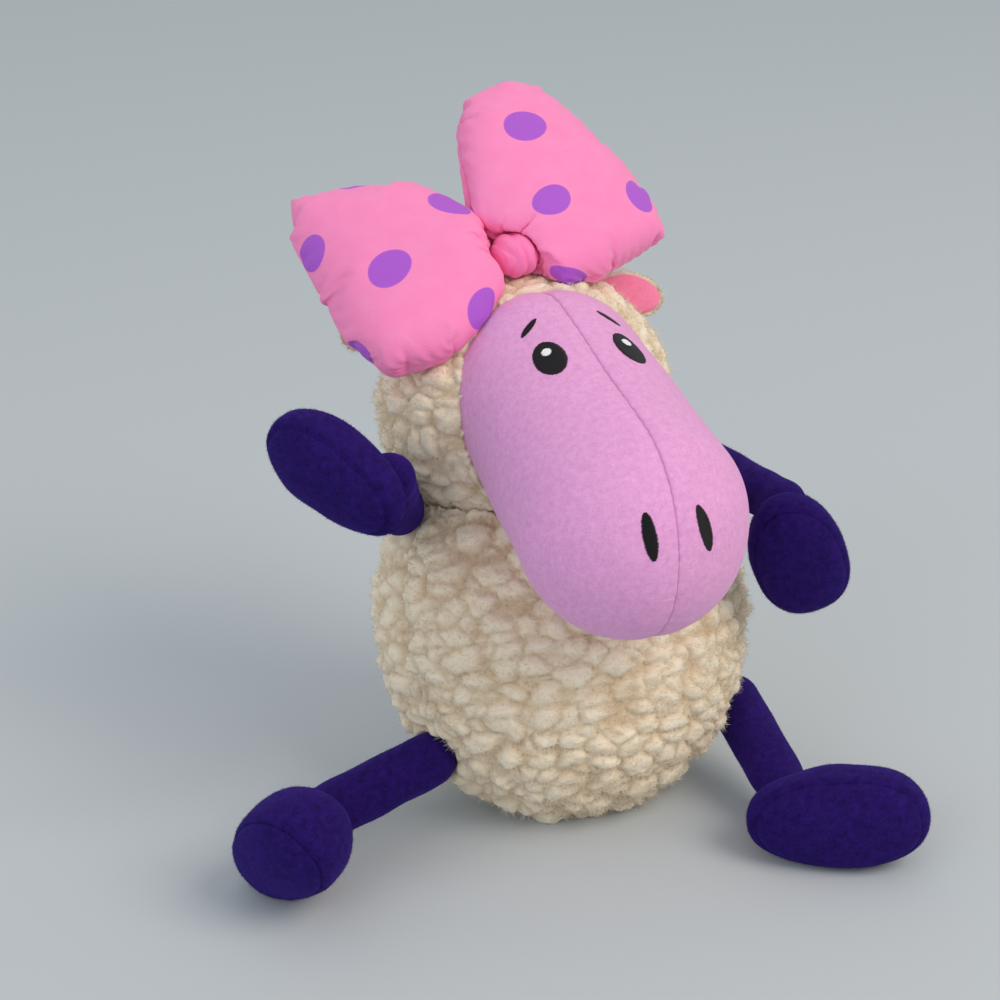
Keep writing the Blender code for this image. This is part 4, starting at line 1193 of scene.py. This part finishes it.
def boot_points(piece, size, seed):
    unit = read_points(piece)
    unit = unit / ((np.abs(unit) ** SQUARE_POWER).sum(axis=1) ** (1.0 / SQUARE_POWER))[:, None]
    taper = 1.0 + HEEL_TAPER * (unit[:, 0] - 1.0) / 2.0
    drop = np.where(unit[:, 2] > 0, unit[:, 2], unit[:, 2] * SOLE_BULGE)
    local = np.column_stack((unit[:, 0], unit[:, 1] * taper, drop * taper)) * size / 2
    to_seam = np.abs(local[:, 2] + size[2] / 2 * SOLE_SEAM)
    crease = 0.6 * MM * np.exp(-to_seam / (0.7 * MM))
    lip = 0.25 * MM * np.exp(-((to_seam - 2.2 * MM) / (1.6 * MM)) ** 2)
    return raised(piece, local, 0.6 * MM * lumps(local, 13.0 * MM, seed) + lip - crease)


# %% [markdown]
# Each limb starts at its hinge in the body and ends at the joint of its boot. The boot is dented where the
# sleeve's round end presses into it, so the two never share space.

# %% Four limbs
for seed, (stem, (root, end, radius)) in enumerate(LIMBS.items()):
    boot_stem, size, heel, toe, sole = BOOTS[stem]
    reach = pivot(end) - pivot(root)
    sleeve = globe(stem, 64, 90)
    local = sleeve_points(sleeve, radius, reach.length, seed)
    place = place_at(pivot(root), turn_from(JOINTS[root]["axis"], -reach))
    write_points(sleeve, put(local, place))
    way = reach.normalized()
    blend = (stem, boot_stem, pivot(end) - way * 8.0 * MM, pivot(end) + way * 1.0 * MM)
    near_end = roll_distance(pivot(end), pivot(end) - way * 3.0 * MM, 14.0 * MM)
    near_body = egg_distance(BODY_PLACE, BODY_RADII + 2.5 * MM)
    fuzz(sleeve, 3000, PILE_LENGTH, PILE_WIDTH, 30 + seed, [near_body, near_end])
    replaced = [stem + "_skin", stem + "_stuffing"]
    hand_in(sleeve, "plush_" + stem, PLUSH, stem, replaced, blend)

    boot = ball(boot_stem, 6)
    end_place = place_at(pivot(end), turn_from(toe, -Vector(sole)))
    middle = boot_centre(size, heel, radius)
    local = boot_points(boot, size, 20 + seed)
    boot_place = end_place @ Matrix.Translation(middle)
    roll = roll_distance(pivot(root), pivot(end), radius)
    aim_point = boot_place @ Vector((-size[0] * 0.12, 0.0, -size[2] * 0.20))
    world = make_room(put(local, boot_place), aim_point, [roll], 0.2 * MM)
    world[:, 2] = np.maximum(world[:, 2], 0.0)
    write_points(boot, world)
    seam = (0.0, 0.0, -size[2] / 2 * SOLE_SEAM)
    sole_piece = cut_in_two(boot, boot_stem + "_sole", boot_place, seam, (0.0, 0.0, 1.0))
    for half, kind, count, draw, inside in ((boot, "upper", 5000, 40, [boot_stem + "_stuffing"]),
                                            (sole_piece, "sole", 2500, 50, [])):
        fuzz(half, count, PILE_LENGTH, PILE_WIDTH, draw + seed, [roll, HEAD, MUZZLE], 0.8 * MM)
        name = "%s_%s" % (boot_stem, kind)
        hand_in(half, "plush_" + name, PLUSH, boot_stem, [name] + inside)

# %% [markdown]
# ## Floor, light and camera
# The toy sits on plain pale paper, wide enough to fill the background.

# %% Floor
floor = add_form("floor", bpy.ops.mesh.primitive_plane_add, size=12.0)
paper = finish_with(new_finish("matt_paper")[0], Base_Color=linear("c3c9cc"), Roughness=0.95,
                    Specular_IOR_Level=0.1)
floor.data.materials.append(paper)

# %% [markdown]
# A big soft lamp stands to the right and above, with a weaker one to the left, and a pale sky fills in.

# %% Lights
world = bpy.data.worlds.new("studio")
bpy.context.scene.world = world
world.use_nodes = True
world.node_tree.nodes["Background"].inputs["Color"].default_value = linear("e4e9ee")
world.node_tree.nodes["Background"].inputs["Strength"].default_value = 0.75


def soft_light(name, where, size, power, colour):
    lamp = bpy.data.lights.new(name, "AREA")
    lamp.shape = "DISK"
    lamp.size = size
    lamp.energy = power
    lamp.color = linear(colour)[:3]
    thing = bpy.data.objects.new(name, lamp)
    bpy.context.scene.collection.objects.link(thing)
    way = Vector(where) - Vector((0.0, 0.0, 80 * MM))
    thing.matrix_world = place_at(where, turn_from((1.0, 0.0, 0.0), way))
    return thing


soft_light("key", (1.1, -1.5, 1.9), 1.6, 30.0, "fff4e6")
soft_light("fill", (-2.0, -1.3, 1.2), 2.0, 12.0, "eaf1ff")

# %% [markdown]
# The camera stands where the photograph was taken: a little above the toy, and to its right. It looks from
# 0.7 m with a long lens, and the lens is shifted to place the toy in the frame as the photograph does.

# %% Camera
AIM = Vector((0.0, 10.9 * MM, 66.5 * MM))
AZIMUTH = math.radians(-22.0)
ELEVATION = math.radians(25.0)
DISTANCE = 700.0 * MM
back = Vector((math.sin(AZIMUTH) * math.cos(ELEVATION), -math.cos(AZIMUTH) * math.cos(ELEVATION),
               math.sin(ELEVATION)))
lens = bpy.data.cameras.new("photo_camera")
lens.sensor_width = 36.0
lens.lens = 76.4
lens.shift_x = -0.067
lens.shift_y = 0.100
lens.clip_start = 10 * MM
camera = bpy.data.objects.new("photo_camera", lens)
bpy.context.scene.collection.objects.link(camera)
level = Vector((math.cos(AZIMUTH), math.sin(AZIMUTH), 0.0))
camera.matrix_world = place_at(AIM + back * DISTANCE, turn_from(level, back))
bpy.context.scene.camera = camera
print("camera at", camera.matrix_world.translation[:])

# %% [markdown]
# ## The view
# Colours are shown through the Standard view transform.

# %% View transform
bpy.context.scene.view_settings.view_transform = "Standard"
